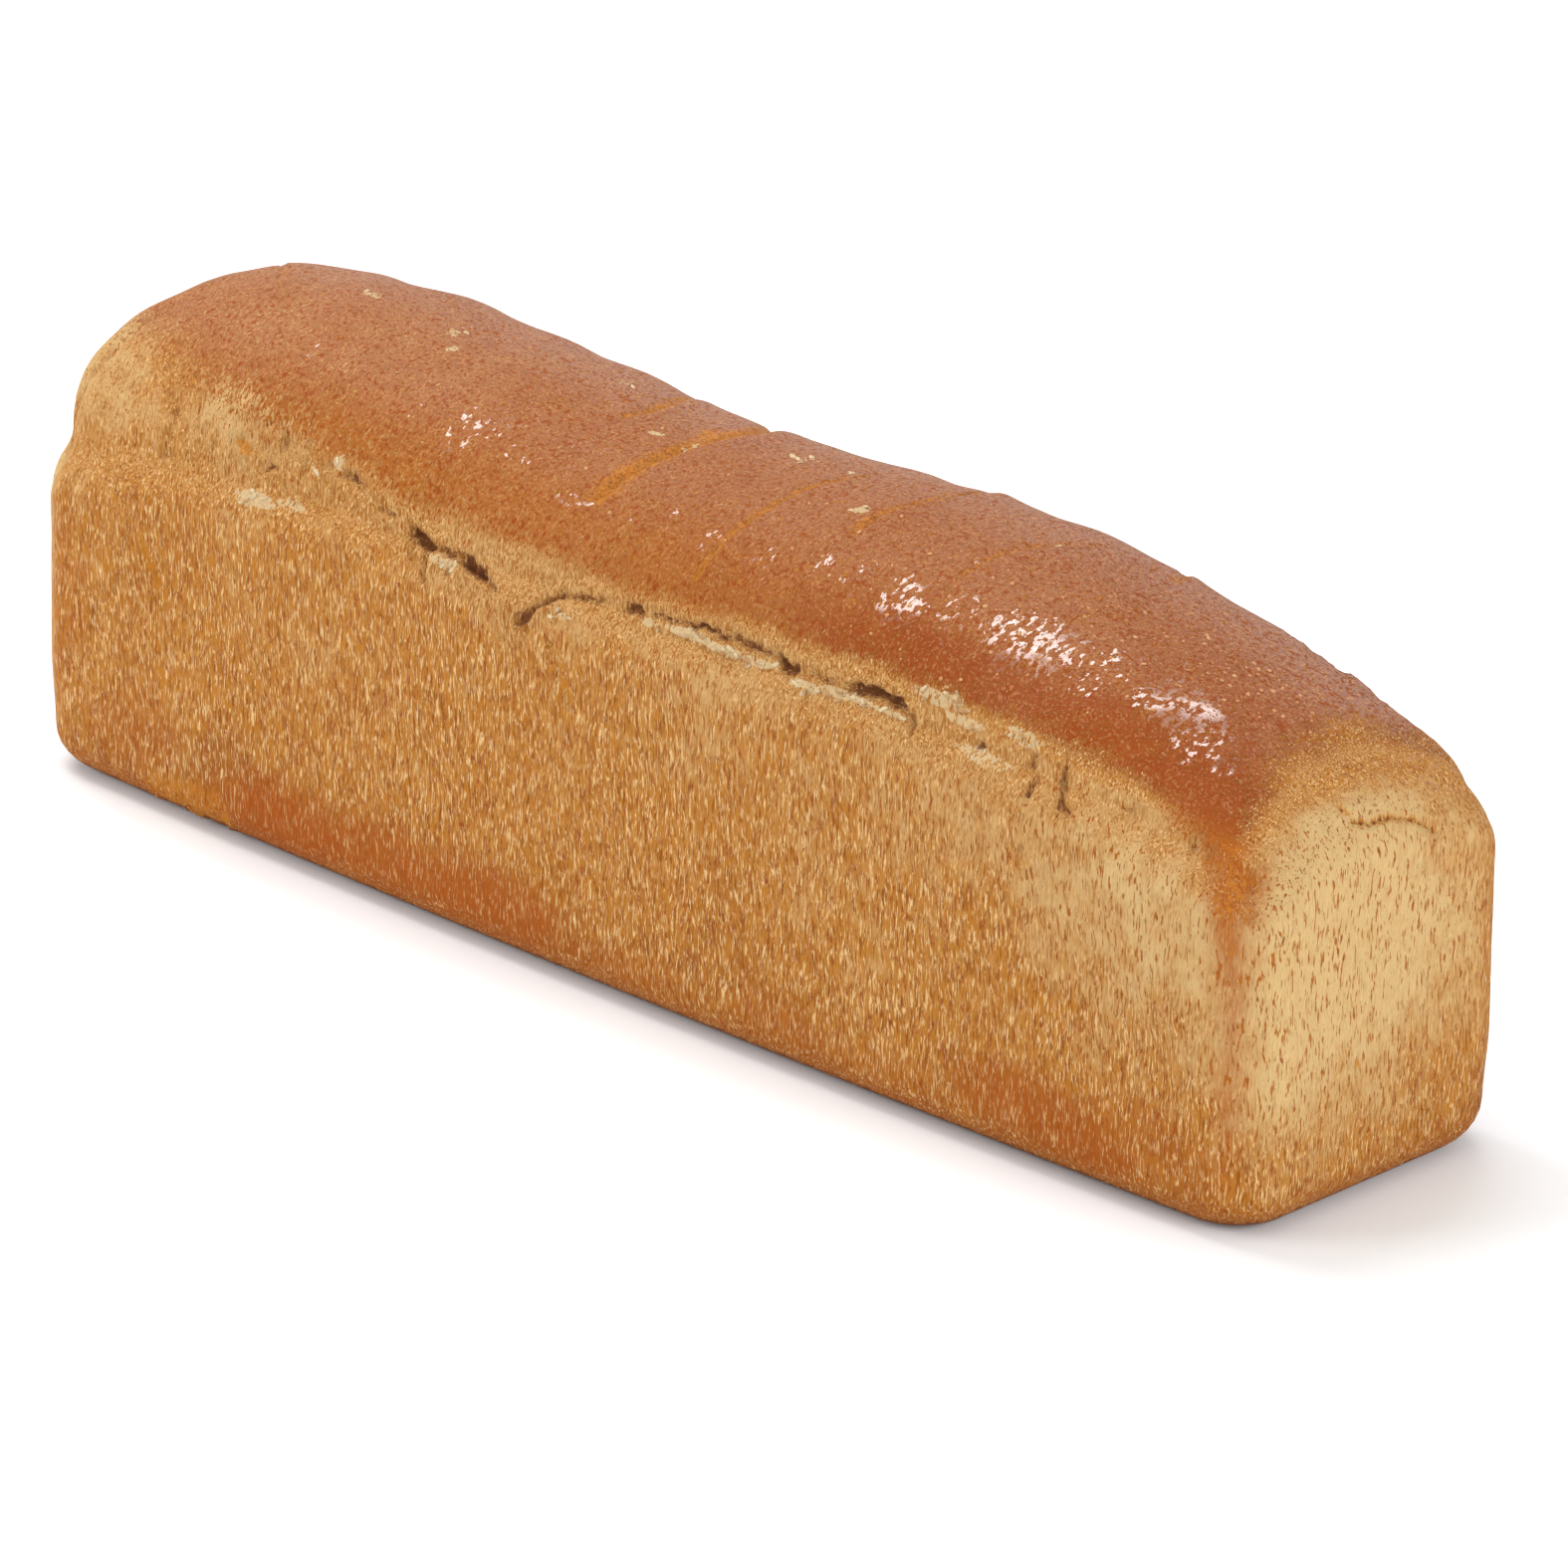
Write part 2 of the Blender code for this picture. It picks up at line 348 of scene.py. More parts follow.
@dataclass(frozen=True)
class LoafSizes:
    """Sizes of the whole loaf, in metres."""

    length: float = 0.400
    width: float = 0.0890
    side_bow: float = 0.0035
    corner_radius: float = 0.0145
    foot_radius: float = 0.011
    foot_taper: float = 0.0005
    rim_corner_height: float = 0.0800
    rim_side_rise: float = 0.0140
    rim_end_rise: float = 0.0102
    shoulder_drop: float = 0.012
    shoulder_inset: float = 0.0045
    crown: Marks = (
        (-0.19, 0.1210), (-0.14, 0.1296), (-0.08, 0.1274), (-0.02, 0.1207),
        (0.04, 0.1232), (0.10, 0.1225), (0.15, 0.1108), (0.19, 0.0988),
    )
    dome_fullness: float = 2.0
    end_fullness: float = 3.2
    left_end_run: float = 0.052
    right_end_run: float = 0.157

    @property
    def half_length(self) -> float:
        """Half length of the dome's foot."""
        return self.length / 2 - self.shoulder_inset

    @property
    def half_width(self) -> float:
        """Half width of the dome's foot at the ends."""
        return self.width / 2 - self.shoulder_inset

    def round_corners(
        self, x: np.ndarray, y: np.ndarray, half_x: np.ndarray, half_y: np.ndarray, radius: np.ndarray
    ) -> tuple[np.ndarray, np.ndarray]:
        """Moves points of a box outline onto the outline with round corners.

        Args:
            x: Places along the loaf, on the box outline.
            y: Places across the loaf, on the box outline.
            half_x: Half length of the outline at each point.
            half_y: Half width of the outline at each point.
            radius: Corner radius at each point.

        Returns:
            The moved x and y.
        """
        radius = np.minimum(radius, np.minimum(half_x, half_y))
        core_x = np.clip(x, radius - half_x, half_x - radius)
        core_y = np.clip(y, radius - half_y, half_y - radius)
        out_x = x - core_x
        out_y = y - core_y
        reach = np.maximum(np.hypot(out_x, out_y), 1e-9)
        turned = (np.abs(out_x) > 1e-7) & (np.abs(out_y) > 1e-7)
        scale = np.where(turned, radius / reach, 1.0)
        return core_x + out_x * scale, core_y + out_y * scale

    def bow(self, x: np.ndarray, y: np.ndarray, half_y: np.ndarray | float) -> np.ndarray:
        """Pushes the long sides outward towards the middle of the loaf."""
        return y + y / half_y * self.side_bow * np.clip(1 - (x / (self.length / 2)) ** 2, 0, 1)

    def rim(self, u: np.ndarray, v: np.ndarray) -> np.ndarray:
        """Works out the rim's height.

        Args:
            u: Share of the half length at each point.
            v: Share of the half width at each point.

        Returns:
            The height of the rim beside each point.
        """
        side = self.rim_side_rise * (1 - np.clip(np.abs(u), 0, 1) ** 4)
        end = self.rim_end_rise * (1 - np.clip(np.abs(v), 0, 1) ** 2)
        return self.rim_corner_height + side + end

    def dome(self, x: np.ndarray, y: np.ndarray) -> np.ndarray:
        """Shapes the dome from flat grid points.

        Args:
            x: Grid places along the loaf.
            y: Grid places across the loaf.

        Returns:
            Points, one row each.
        """
        half_x = self.half_length
        half_y = self.half_width
        inset = np.clip(np.minimum(half_x - np.abs(x), half_y - np.abs(y)), 0, None)
        radius = np.maximum(self.corner_radius - 0.3 * inset, 0.004)
        plan_x, plan_y = self.round_corners(x, y, half_x - inset, half_y - inset, radius)
        across = np.clip(np.abs(y) / half_y, 0, 1)
        across = np.clip(1 - across**self.dome_fullness, 0, None) ** (1 / self.dome_fullness)
        run = np.where(x < 0, self.left_end_run, self.right_end_run)
        along = np.clip((np.abs(x) - half_x + run) / run, 0, 1)
        along = np.clip(1 - along**self.end_fullness, 0, None) ** (1 / self.end_fullness)
        rise = (np.maximum(across, 1e-6) ** -2 + np.maximum(along, 1e-6) ** -2 - 1) ** -0.5
        foot = self.rim(x / half_x, y / half_y)
        height = foot + (smooth_line(plan_x, self.crown) - foot) * rise
        return np.stack([plan_x, self.bow(plan_x, plan_y, half_y), height], axis=-1)

    def wall(self, u: np.ndarray, v: np.ndarray, turn: np.ndarray, fall: np.ndarray, tuck: np.ndarray) -> np.ndarray:
        """Shapes the walls from the rim's ledge to the rounded foot.

        Args:
            u: Share of the half length at each point of the outline.
            v: Share of the half width at each point of the outline.
            turn: Share of the way from the rim over the shoulder.
            fall: Share of the way down the straight wall.
            tuck: Share of the way round the foot.

        Returns:
            Points, one row each.
        """
        turn = turn * math.pi / 2
        tuck = tuck * math.pi / 2
        shoulder = self.rim(u, v) - self.shoulder_drop
        inset = self.shoulder_inset * (1 - np.sin(turn)) + self.foot_taper * fall
        inset = inset + self.foot_radius * (1 - np.cos(tuck))
        height = shoulder + self.shoulder_drop * np.cos(turn) - (shoulder - self.foot_radius) * fall
        height = height - self.foot_radius * np.sin(tuck)
        radius = self.corner_radius - 0.5 * self.foot_radius * (1 - np.cos(tuck))
        half_x = self.length / 2 - inset
        half_y = self.width / 2 - inset
        x, y = self.round_corners(u * half_x, v * half_y, half_x, half_y, radius)
        return np.stack([x, self.bow(x, y, half_y), height], axis=-1)

    def way_down(
        self, u: np.ndarray, v: np.ndarray, turn: np.ndarray, fall: np.ndarray, tuck: np.ndarray
    ) -> np.ndarray:
        """Measures the way down the wall from the rim, along the surface.

        Args:
            u: Share of the half length at each point of the outline.
            v: Share of the half width at each point of the outline.
            turn: Share of the way from the rim over the shoulder.
            fall: Share of the way down the straight wall.
            tuck: Share of the way round the foot.

        Returns:
            The length of the way to each point.
        """
        turns = np.linspace(0, math.pi / 2, 60)
        speed = np.hypot(self.shoulder_inset * np.cos(turns), self.shoulder_drop * np.sin(turns))
        over = np.concatenate([[0], np.cumsum((speed[1:] + speed[:-1]) / 2)]) * turns[1]
        straight = self.rim(u, v) - self.shoulder_drop - self.foot_radius
        way = np.interp(turn * math.pi / 2, turns, over) + fall * straight
        return way + tuck * self.foot_radius * math.pi / 2


@dataclass
class SkinPlaces:
    """Points of the smooth loaf and where they lie on it.

    Attributes:
        points: The points, one row each.
        side_up: Way up from the rim of the nearer long side, less than 0 below it.
        end_up: Way up from the rim of the nearer end, less than 0 below it.
        over: Way from the near long side's rim over the dome, less than 0 below the rim.
        on_dome: True above the rim.
    """

    points: np.ndarray
    side_up: np.ndarray
    end_up: np.ndarray
    over: np.ndarray
    on_dome: np.ndarray

    def __post_init__(self) -> None:
        """Works out the coordinates, the faces' masks and the random fields."""
        self.x, self.y, self.z = self.points.T
        self.near = self.y < 0
        self.side = smooth_step(0.199, 0.190, np.abs(self.x))
        self.fine = random_field(self.points, (0.0032, 0.0032, 0.0032), 4.0, 3)
        self.coarse = random_field(self.points, (0.011, 0.011, 0.011), 9.0, 2)
        self.slow = random_field(self.points, (0.045, 0.045, 0.045), 2.0, 2)
        self.shard = random_field(self.points, (0.0020, 0.0020, 0.0075), 14.0, 2)


@dataclass(frozen=True)
class Tear:
    """One opening of the torn rim.

    Attributes:
        place: Its middle along the loaf.
        half_length: Half its length.
        half_height: Half its height.
        depth: How deep it goes.
        dark: How much painted shade lies inside it.
    """

    place: float
    half_length: float
    half_height: float
    depth: float
    dark: float = 1.0


@dataclass(frozen=True)
class Crack:
    """One crack or fold that follows a path.

    Attributes:
        path: Corners of the path, as (along, up from the rim).
        half_width: Half its width.
        depth: How deep it goes.
        lip: Height of the raised edge beside it.
        shade: How much painted shade lies in it.
        split: How orange it is.
    """

    path: Marks
    half_width: float
    depth: float
    lip: float = 0.0
    shade: float = 0.0
    split: float = 0.0


@dataclass(frozen=True)
class Patch:
    """One soft patch of a mask: its middle, half sizes and strength."""

    along: float
    up: float
    half_length: float
    half_height: float
    strength: float

    def reach(self, along: np.ndarray, up: np.ndarray) -> np.ndarray:
        """Measures how far points are from the middle: 1 is on the patch's outline."""
        return ((along - self.along) / self.half_length) ** 2 + ((up - self.up) / self.half_height) ** 2


@dataclass(frozen=True)
class TornRim:
    """The rim where the dome tore away from the walls."""

    line: Marks = (
        (-0.200, 0.0000), (-0.160, 0.0020), (-0.120, 0.0045), (-0.095, 0.0095), (-0.088, 0.0098),
        (-0.081, 0.0086), (-0.075, 0.0060), (-0.068, 0.0042), (-0.063, 0.0020), (-0.058, 0.0005),
        (-0.050, 0.0000), (-0.044, -0.0006), (-0.039, -0.0016), (-0.034, -0.0032), (-0.030, -0.0048),
        (-0.0235, -0.0092), (-0.0195, -0.0078), (-0.0165, -0.0040), (-0.0125, -0.0010), (-0.005, 0.0010),
        (0.004, 0.0022), (0.012, 0.0027), (0.022, 0.0032), (0.032, 0.0042), (0.046, 0.0042),
        (0.055, 0.0034), (0.060, 0.0020), (0.067, 0.0030), (0.075, 0.0024), (0.081, 0.0032),
        (0.089, 0.0037), (0.094, 0.0030), (0.099, 0.0000), (0.110, 0.0000), (0.125, 0.0014),
        (0.145, 0.0022), (0.170, 0.0030), (0.185, 0.0030), (0.200, 0.0000),
    )
    openness: Marks = ((-0.19, 0.05), (-0.14, 0.25), (-0.09, 0.8), (-0.06, 1.0), (0.09, 1.0), (0.12, 0.7), (0.19, 0.35))
    tears: tuple[Tear, ...] = (
        Tear(-0.1500, 0.0020, 0.0009, 0.0010, 0.5), Tear(-0.1130, 0.0022, 0.0008, 0.0010, 0.5),
        Tear(-0.0840, 0.0045, 0.0009, 0.0014, 0.55), Tear(-0.0715, 0.0042, 0.0005, 0.0010, 0.7),
        Tear(-0.0592, 0.0042, 0.0016, 0.0036), Tear(-0.0500, 0.0042, 0.0007, 0.0010, 0.55),
        Tear(-0.0400, 0.0056, 0.0016, 0.0036), Tear(-0.0320, 0.0022, 0.0006, 0.0010, 0.7),
        Tear(-0.0208, 0.0030, 0.0016, 0.0024, 0.8), Tear(-0.0145, 0.0044, 0.0009, 0.0015, 0.65),
        Tear(-0.0040, 0.0060, 0.0006, 0.0012, 0.6), Tear(0.0112, 0.0030, 0.0011, 0.0022, 0.8),
        Tear(0.0220, 0.0055, 0.0005, 0.0012, 0.7), Tear(0.0350, 0.0080, 0.0006, 0.0017, 0.8),
        Tear(0.0480, 0.0070, 0.0006, 0.0015, 0.7), Tear(0.0588, 0.0036, 0.0013, 0.0030),
        Tear(0.0705, 0.0042, 0.0005, 0.0010, 0.6), Tear(0.0868, 0.0088, 0.0011, 0.0036),
        Tear(0.1168, 0.0013, 0.0013, 0.0012, 0.6), Tear(0.1590, 0.0018, 0.0009, 0.0010, 0.4),
    )
    splits: tuple[Crack, ...] = (
        Crack(((0.0978, 0.0020), (0.0990, -0.0030)), 0.0006, 0.0012, 0.0, 0.45, 0.3),
        Crack(((0.1330, 0.0042), (0.1322, 0.0018)), 0.0018, 0.0012, 0.0, 0.52, 0.35),
        Crack(((0.1347, -0.0008), (0.1338, -0.0050)), 0.0011, 0.0016, 0.0, 0.66, 0.2),
        Crack(((0.1415, 0.0046), (0.1420, 0.0002), (0.1438, -0.0032), (0.1456, -0.0044)),
              0.0012, 0.0016, 0.0, 0.55, 0.35),
        Crack(((0.1428, -0.0040), (0.1432, -0.0062)), 0.0008, 0.0010, 0.0, 0.50, 0.2),
        Crack(((0.1792, 0.0062), (0.1786, 0.0018)), 0.0011, 0.0014, 0.0, 0.52, 0.3),
        Crack(((0.1826, 0.0040), (0.1815, 0.0000)), 0.0007, 0.0010, 0.0, 0.35, 0.4),
        Crack(((-0.0615, 0.0000), (-0.0605, -0.0050)), 0.0007, 0.0009, 0.0, 0.30, 0.1),
        Crack(((-0.0560, -0.0010), (-0.0545, -0.0085)), 0.0008, 0.0012, 0.0, 0.45, 0.1),
        Crack(((-0.0465, -0.0010), (-0.0475, -0.0050)), 0.0007, 0.0010, 0.0, 0.35, 0.1),
        Crack(((-0.0335, -0.0030), (-0.0325, -0.0062)), 0.0006, 0.0010, 0.0, 0.45, 0.1),
        Crack(((-0.0125, -0.0110), (-0.0115, -0.0130)), 0.0008, 0.0010, 0.0, 0.30, 0.4),
        Crack(((-0.1510, 0.0175), (-0.1490, 0.0130)), 0.0008, 0.0009, 0.0, 0.50, 0.4),
        Crack(((-0.1490, 0.0225), (-0.1445, 0.0200)), 0.0007, 0.0007, 0.0, 0.40, 0.35),
        Crack(((-0.1310, 0.0200), (-0.1298, 0.0155)), 0.0007, 0.0009, 0.0, 0.55, 0.5),
        Crack(((-0.1240, 0.0102), (-0.1212, 0.0084)), 0.0010, 0.0008, 0.0, 0.35, 0.8),
        Crack(((-0.1105, 0.0150), (-0.1092, 0.0118)), 0.0006, 0.0008, 0.0, 0.55, 0.4),
        Crack(((-0.1015, 0.0128), (-0.0960, 0.0104)), 0.0007, 0.0008, 0.0, 0.45, 0.5),
    )
    flakes: tuple[Patch, ...] = (
        Patch(-0.1150, -0.0030, 0.0060, 0.0016, 0.8), Patch(-0.1040, -0.0018, 0.0045, 0.0012, 0.5),
        Patch(-0.0895, 0.0118, 0.0016, 0.0014, 0.8), Patch(-0.0975, 0.0085, 0.0020, 0.0012, 0.4),
        Patch(-0.0500, -0.0025, 0.0040, 0.0015, 0.5), Patch(-0.0100, -0.0050, 0.0030, 0.0012, 0.4),
        Patch(0.0170, 0.0006, 0.0030, 0.0010, 0.6), Patch(0.0300, 0.0014, 0.0060, 0.0011, 1.0),
        Patch(0.0400, 0.0008, 0.0050, 0.0012, 1.0), Patch(0.0500, 0.0006, 0.0040, 0.0010, 0.8),
        Patch(0.0660, -0.0010, 0.0035, 0.0012, 0.7), Patch(0.0750, 0.0002, 0.0040, 0.0012, 1.0),
        Patch(0.0830, 0.0006, 0.0050, 0.0009, 1.0), Patch(0.0910, 0.0004, 0.0040, 0.0009, 0.9),
        Patch(0.1040, 0.0080, 0.0060, 0.0016, 0.6), Patch(0.1120, 0.0050, 0.0050, 0.0012, 0.5),
        Patch(0.1200, -0.0010, 0.0080, 0.0016, 0.5), Patch(0.1290, 0.0070, 0.0050, 0.0016, 0.5),
        Patch(-0.0340, 0.0640, 0.0012, 0.0060, 0.6), Patch(-0.0225, 0.0525, 0.0013, 0.0012, 1.0),
        Patch(-0.0100, 0.0520, 0.0022, 0.0016, 0.8), Patch(0.0505, 0.0475, 0.0022, 0.0011, 0.9),
        Patch(-0.1210, 0.0620, 0.0024, 0.0012, 0.7), Patch(-0.0910, 0.0590, 0.0016, 0.0012, 0.6),
        Patch(-0.0850, 0.0525, 0.0013, 0.0012, 0.7),
    )

    def carve(self, at: SkinPlaces, up: np.ndarray, along: np.ndarray, where: np.ndarray) -> dict[str, np.ndarray]:
        """Tears one long side's rim.

        Args:
            at: The skin's places.
            up: Way up from this side's rim.
            along: Way along this side.
            where: Strength of the tearing at each point.

        Returns:
            The relief, and the masks torn, shade, split and flake.
        """
        away = up - smooth_line(along, self.line) + 0.0011 * at.fine + 0.0004 * at.coarse + 0.0005 * at.shard
        openness = straight_line(along, self.openness) * where
        gap = np.zeros(len(up))
        shade = np.zeros(len(up))
        for tear in self.tears:
            reach = (along - tear.place + 0.0012 * at.fine) / tear.half_length
            cut = np.exp(-(reach**4)) * where
            gap = np.maximum(gap, tear.depth * cut * np.exp(-((away / tear.half_height) ** 2)))
            # Painted shade inside each tear, a little wider than the cut itself.
            shade = np.maximum(shade, tear.dark * cut * np.exp(-((away / (1.25 * tear.half_height)) ** 2)))
        lip = 0.0006 * np.exp(-(((away - 0.0022) / 0.0014) ** 2))
        shelf = 0.0005 * np.exp(-(((away + 0.0026) / 0.0018) ** 2)) * (1 + at.fine)
        relief = openness * (lip + shelf) - gap
        shards = smooth_step(-0.011, -0.003, away) * smooth_step(0.0010, -0.0015, away)
        shards = shards * smooth_step(-0.07, -0.055, along) * smooth_step(0.0, -0.02, along)
        relief += openness * shards * 0.0009 * at.shard
        ragged = smooth_step(-0.17, -0.15, along) * smooth_step(-0.075, -0.095, along)
        ragged = ragged * smooth_step(-0.004, 0.004, up) * smooth_step(0.024, 0.014, up) * where
        relief += 0.0010 * ragged * at.shard

        split = np.zeros(len(up))
        for crack in self.splits:
            reach = np.abs(distance_to_path(along + 0.0004 * at.fine, up, crack.path)) / crack.half_width
            cut = np.exp(-(reach**2)) * where
            relief -= crack.depth * cut
            # painted shade in the crack
            shade = np.maximum(shade, crack.shade * cut)
            split = np.maximum(split, crack.split * np.exp(-((reach / 1.5) ** 2)) * where)

        torn = smooth_step(-0.0105, -0.0045, away) * smooth_step(0.014, 0.008, up)
        torn = np.maximum(torn * openness, 0.55 * where * smooth_step(-0.008, 0.0, up) * smooth_step(0.024, 0.010, up))
        flake = np.zeros(len(up))
        for patch in self.flakes:
            reach = patch.reach(along, up)
            flake = np.maximum(flake, patch.strength * smooth_step(2.4, 0.6, reach + 0.7 * at.fine) * where)
        relief += 0.0006 * flake * np.clip(0.5 + at.fine, 0, 1)
        return {"relief": relief, "torn": torn, "shade": shade, "split": split, "flake": flake}


@dataclass(frozen=True)
class DomeMarks:
    """Folds, cracks, glossy patches and the edge of the browning on the dome."""

    folds: tuple[Crack, ...] = (
        Crack(((-0.0345, 0.050), (-0.0335, 0.062), (-0.0350, 0.070), (-0.0375, 0.078), (-0.0405, 0.090),
               (-0.046, 0.102)), 0.0016, 0.0012, 0.0006, 0.10, 0.75),
        Crack(((-0.0135, 0.020), (-0.0125, 0.030), (-0.0115, 0.045), (-0.0105, 0.058), (-0.0085, 0.070),
               (-0.0115, 0.080), (-0.0175, 0.090), (-0.025, 0.102)), 0.0029, 0.0019, 0.0009, 0.05, 1.0),
        Crack(((-0.0160, 0.067), (-0.0145, 0.060), (-0.0115, 0.055)), 0.0014, 0.0008, 0.0, 0.05, 0.9),
        Crack(((0.0265, 0.010), (0.0275, 0.020), (0.0300, 0.032), (0.0310, 0.045), (0.0330, 0.058), (0.0350, 0.070)),
              0.0012, 0.0010, 0.0004, 0.05, 0.85),
        Crack(((0.0580, 0.034), (0.0560, 0.042), (0.0580, 0.055), (0.0600, 0.070), (0.0600, 0.080), (0.0545, 0.090),
               (0.048, 0.102)), 0.0016, 0.0011, 0.0006, 0.10, 0.75),
        Crack(((0.0905, 0.030), (0.0905, 0.045), (0.0930, 0.058), (0.0975, 0.067), (0.1020, 0.076)),
              0.0015, 0.0008, 0.0003, 0.10, 0.55),
        Crack(((0.1195, 0.070), (0.1165, 0.080), (0.1090, 0.092), (0.104, 0.100)), 0.0013, 0.0009, 0.0004, 0.10, 0.65),
        Crack(((0.1715, 0.018), (0.1745, 0.032), (0.1745, 0.045), (0.1735, 0.058), (0.1700, 0.070), (0.1630, 0.076),
               (0.1580, 0.083), (0.1500, 0.091)), 0.0013, 0.0009, 0.0006, 0.20, 0.15),
        Crack(((-0.1285, 0.041), (-0.1340, 0.047), (-0.1440, 0.055), (-0.1560, 0.066), (-0.1670, 0.0745),
               (-0.1740, 0.082), (-0.178, 0.090)), 0.0009, 0.0007, 0.0003, 0.15, 0.5),
        Crack(((-0.1110, 0.062), (-0.1085, 0.058), (-0.1060, 0.055)), 0.0010, 0.0008, 0.0003, 0.3, 0.6),
        Crack(((-0.1735, 0.031), (-0.1710, 0.029)), 0.0008, 0.0006, 0.0, 0.3, 0.4),
        Crack(((-0.0560, 0.078), (-0.0530, 0.070)), 0.0012, 0.0005, 0.0, 0.0, 0.3),
        Crack(((0.1400, 0.070), (0.1420, 0.078)), 0.0010, 0.0004, 0.0, 0.1, 0.3),
    )
    brown_side: Marks = (
        (-0.200, 0.040), (-0.180, 0.036), (-0.160, 0.029), (-0.140, 0.0215), (-0.120, 0.0165), (-0.100, 0.0135),
        (-0.085, 0.0115), (-0.070, 0.0094), (-0.050, 0.0083), (-0.020, 0.0078), (0.020, 0.0078), (0.050, 0.0086),
        (0.070, 0.0098), (0.090, 0.0105), (0.110, 0.0098), (0.130, 0.0100), (0.150, 0.0105), (0.163, 0.0095),
        (0.172, 0.0070), (0.178, 0.0045), (0.184, 0.0015), (0.190, -0.0045), (0.200, -0.0065),
    )
    side_softness: Marks = (
        (-0.18, 0.013), (-0.12, 0.007), (-0.08, 0.0045), (-0.05, 0.0036), (0.16, 0.0036), (0.18, 0.006),
    )
    brown_end: Marks = (
        (-0.0445, 0.007), (-0.038, 0.011), (-0.030, 0.016), (-0.020, 0.020), (-0.010, 0.0225),
        (0.000, 0.0245), (0.010, 0.0265), (0.020, 0.0255), (0.030, 0.0235), (0.0445, 0.0200),
    )
    gloss: tuple[Patch, ...] = (
        Patch(-0.129, 0.030, 0.004, 0.008, 0.40), Patch(-0.114, 0.035, 0.004, 0.006, 0.30),
        Patch(-0.076, 0.030, 0.004, 0.006, 0.25), Patch(-0.060, 0.029, 0.006, 0.009, 0.70),
        Patch(-0.053, 0.034, 0.006, 0.006, 0.60), Patch(-0.044, 0.029, 0.006, 0.006, 0.35),
        Patch(-0.028, 0.028, 0.005, 0.006, 0.35), Patch(-0.018, 0.022, 0.006, 0.003, 0.80),
        Patch(-0.008, 0.024, 0.004, 0.004, 0.30), Patch(0.000, 0.021, 0.004, 0.003, 0.50),
        Patch(0.011, 0.026, 0.003, 0.004, 0.60), Patch(0.026, 0.023, 0.004, 0.005, 0.60),
        Patch(0.041, 0.024, 0.005, 0.006, 0.50), Patch(0.058, 0.028, 0.003, 0.006, 0.60),
        Patch(0.068, 0.026, 0.004, 0.006, 0.45), Patch(0.083, 0.025, 0.008, 0.007, 1.00),
        Patch(0.090, 0.043, 0.002, 0.003, 0.80), Patch(0.098, 0.028, 0.006, 0.008, 0.60),
        Patch(0.118, 0.028, 0.013, 0.009, 1.00), Patch(0.135, 0.030, 0.008, 0.010, 0.60),
        Patch(0.142, 0.044, 0.004, 0.004, 0.60), Patch(0.155, 0.032, 0.011, 0.009, 1.00),
        Patch(0.165, 0.026, 0.008, 0.010, 0.75), Patch(0.172, 0.024, 0.004, 0.005, 0.75),
        Patch(0.150, 0.049, 0.003, 0.002, 0.50),
    )
    blisters: tuple[Patch, ...] = (
        Patch(0.150, 0.050, 0.022, 0.014, 1.0), Patch(0.130, 0.042, 0.014, 0.008, 0.7),
        Patch(0.095, 0.040, 0.012, 0.010, 0.5), Patch(0.100, 0.030, 0.050, 0.020, 0.3),
        Patch(-0.020, 0.040, 0.080, 0.020, 0.10), Patch(-0.110, 0.050, 0.040, 0.020, 0.15),
    )

    def fold(self, at: SkinPlaces) -> dict[str, np.ndarray]:
        """Folds and cracks the dome.

        Args:
            at: The skin's places.

        Returns:
            The relief, and the masks shade, split, gloss and blister.
        """
        relief = np.zeros(len(at.x))
        shade = np.zeros(len(at.x))
        split = np.zeros(len(at.x))
        for crack in self.folds:
            wander = 0.0009 * at.coarse + 0.0004 * at.fine
            reach = distance_to_path(at.x + wander, at.over, crack.path) / crack.half_width
            cut = np.exp(-((reach / 0.8) ** 2)) * at.on_dome
            ends = (crack.path[0][1], crack.path[-1][1])
            fade = smooth_step(min(ends) - 0.002, min(ends) + 0.008, at.over)
            fade = fade * smooth_step(max(ends) + 0.004, max(ends) - 0.004, at.over)
            relief -= cut * fade * crack.depth
            relief += 1.4 * crack.lip * fade * smooth_step(0.1, 1.1, reach) * np.exp(-((reach / 3.5) ** 2)) * at.on_dome
            # Painted shade: a thin dark line along one side of each fold.
            shade = np.maximum(shade, 2.0 * crack.shade * np.exp(-(((reach - 0.7) / 0.3) ** 2)) * fade * at.on_dome)
            split = np.maximum(split, 0.75 * crack.split * np.exp(-((reach / 1.6) ** 2)) * fade * at.on_dome)
        split = split * (1 - 0.5 * smooth_step(0.080, 0.098, at.over))
        spots = {"gloss": self.spread(at, self.gloss), "blister": self.spread(at, self.blisters)}
        return {"relief": relief, "shade": shade, "split": split, **spots}

    def spread(self, at: SkinPlaces, patches: tuple[Patch, ...]) -> np.ndarray:
        """Lays soft patches on the dome.

        Args:
            at: The skin's places.
            patches: The patches.

        Returns:
            The strongest patch at each point.
        """
        total = np.zeros(len(at.x))
        for patch in patches:
            reach = patch.reach(at.x, at.over)
            total = np.maximum(total, patch.strength * smooth_step(1.8, 0.3, reach + 0.4 * at.fine))
        return total * at.on_dome

    def browning(self, at: SkinPlaces) -> np.ndarray:
        """Works out how far the oven's heat browned each point.

        Args:
            at: The skin's places.

        Returns:
            The browning, from 0 to 1.
        """
        along = np.where(at.near, at.x, 0.85 * at.x)
        line = smooth_line(along, self.brown_side)
        soft = straight_line(along, self.side_softness)
        side = smooth_step(line - soft, line + soft, at.side_up + 0.0016 * at.coarse + 0.0007 * at.fine)
        line = np.where(at.x > 0, smooth_line(at.y, self.brown_end), 0.026)
        soft = np.where(at.x > 0, 0.008, 0.012)
        end = smooth_step(line - soft, line + soft, at.end_up + 0.0015 * at.coarse)
        return np.minimum(side, end)


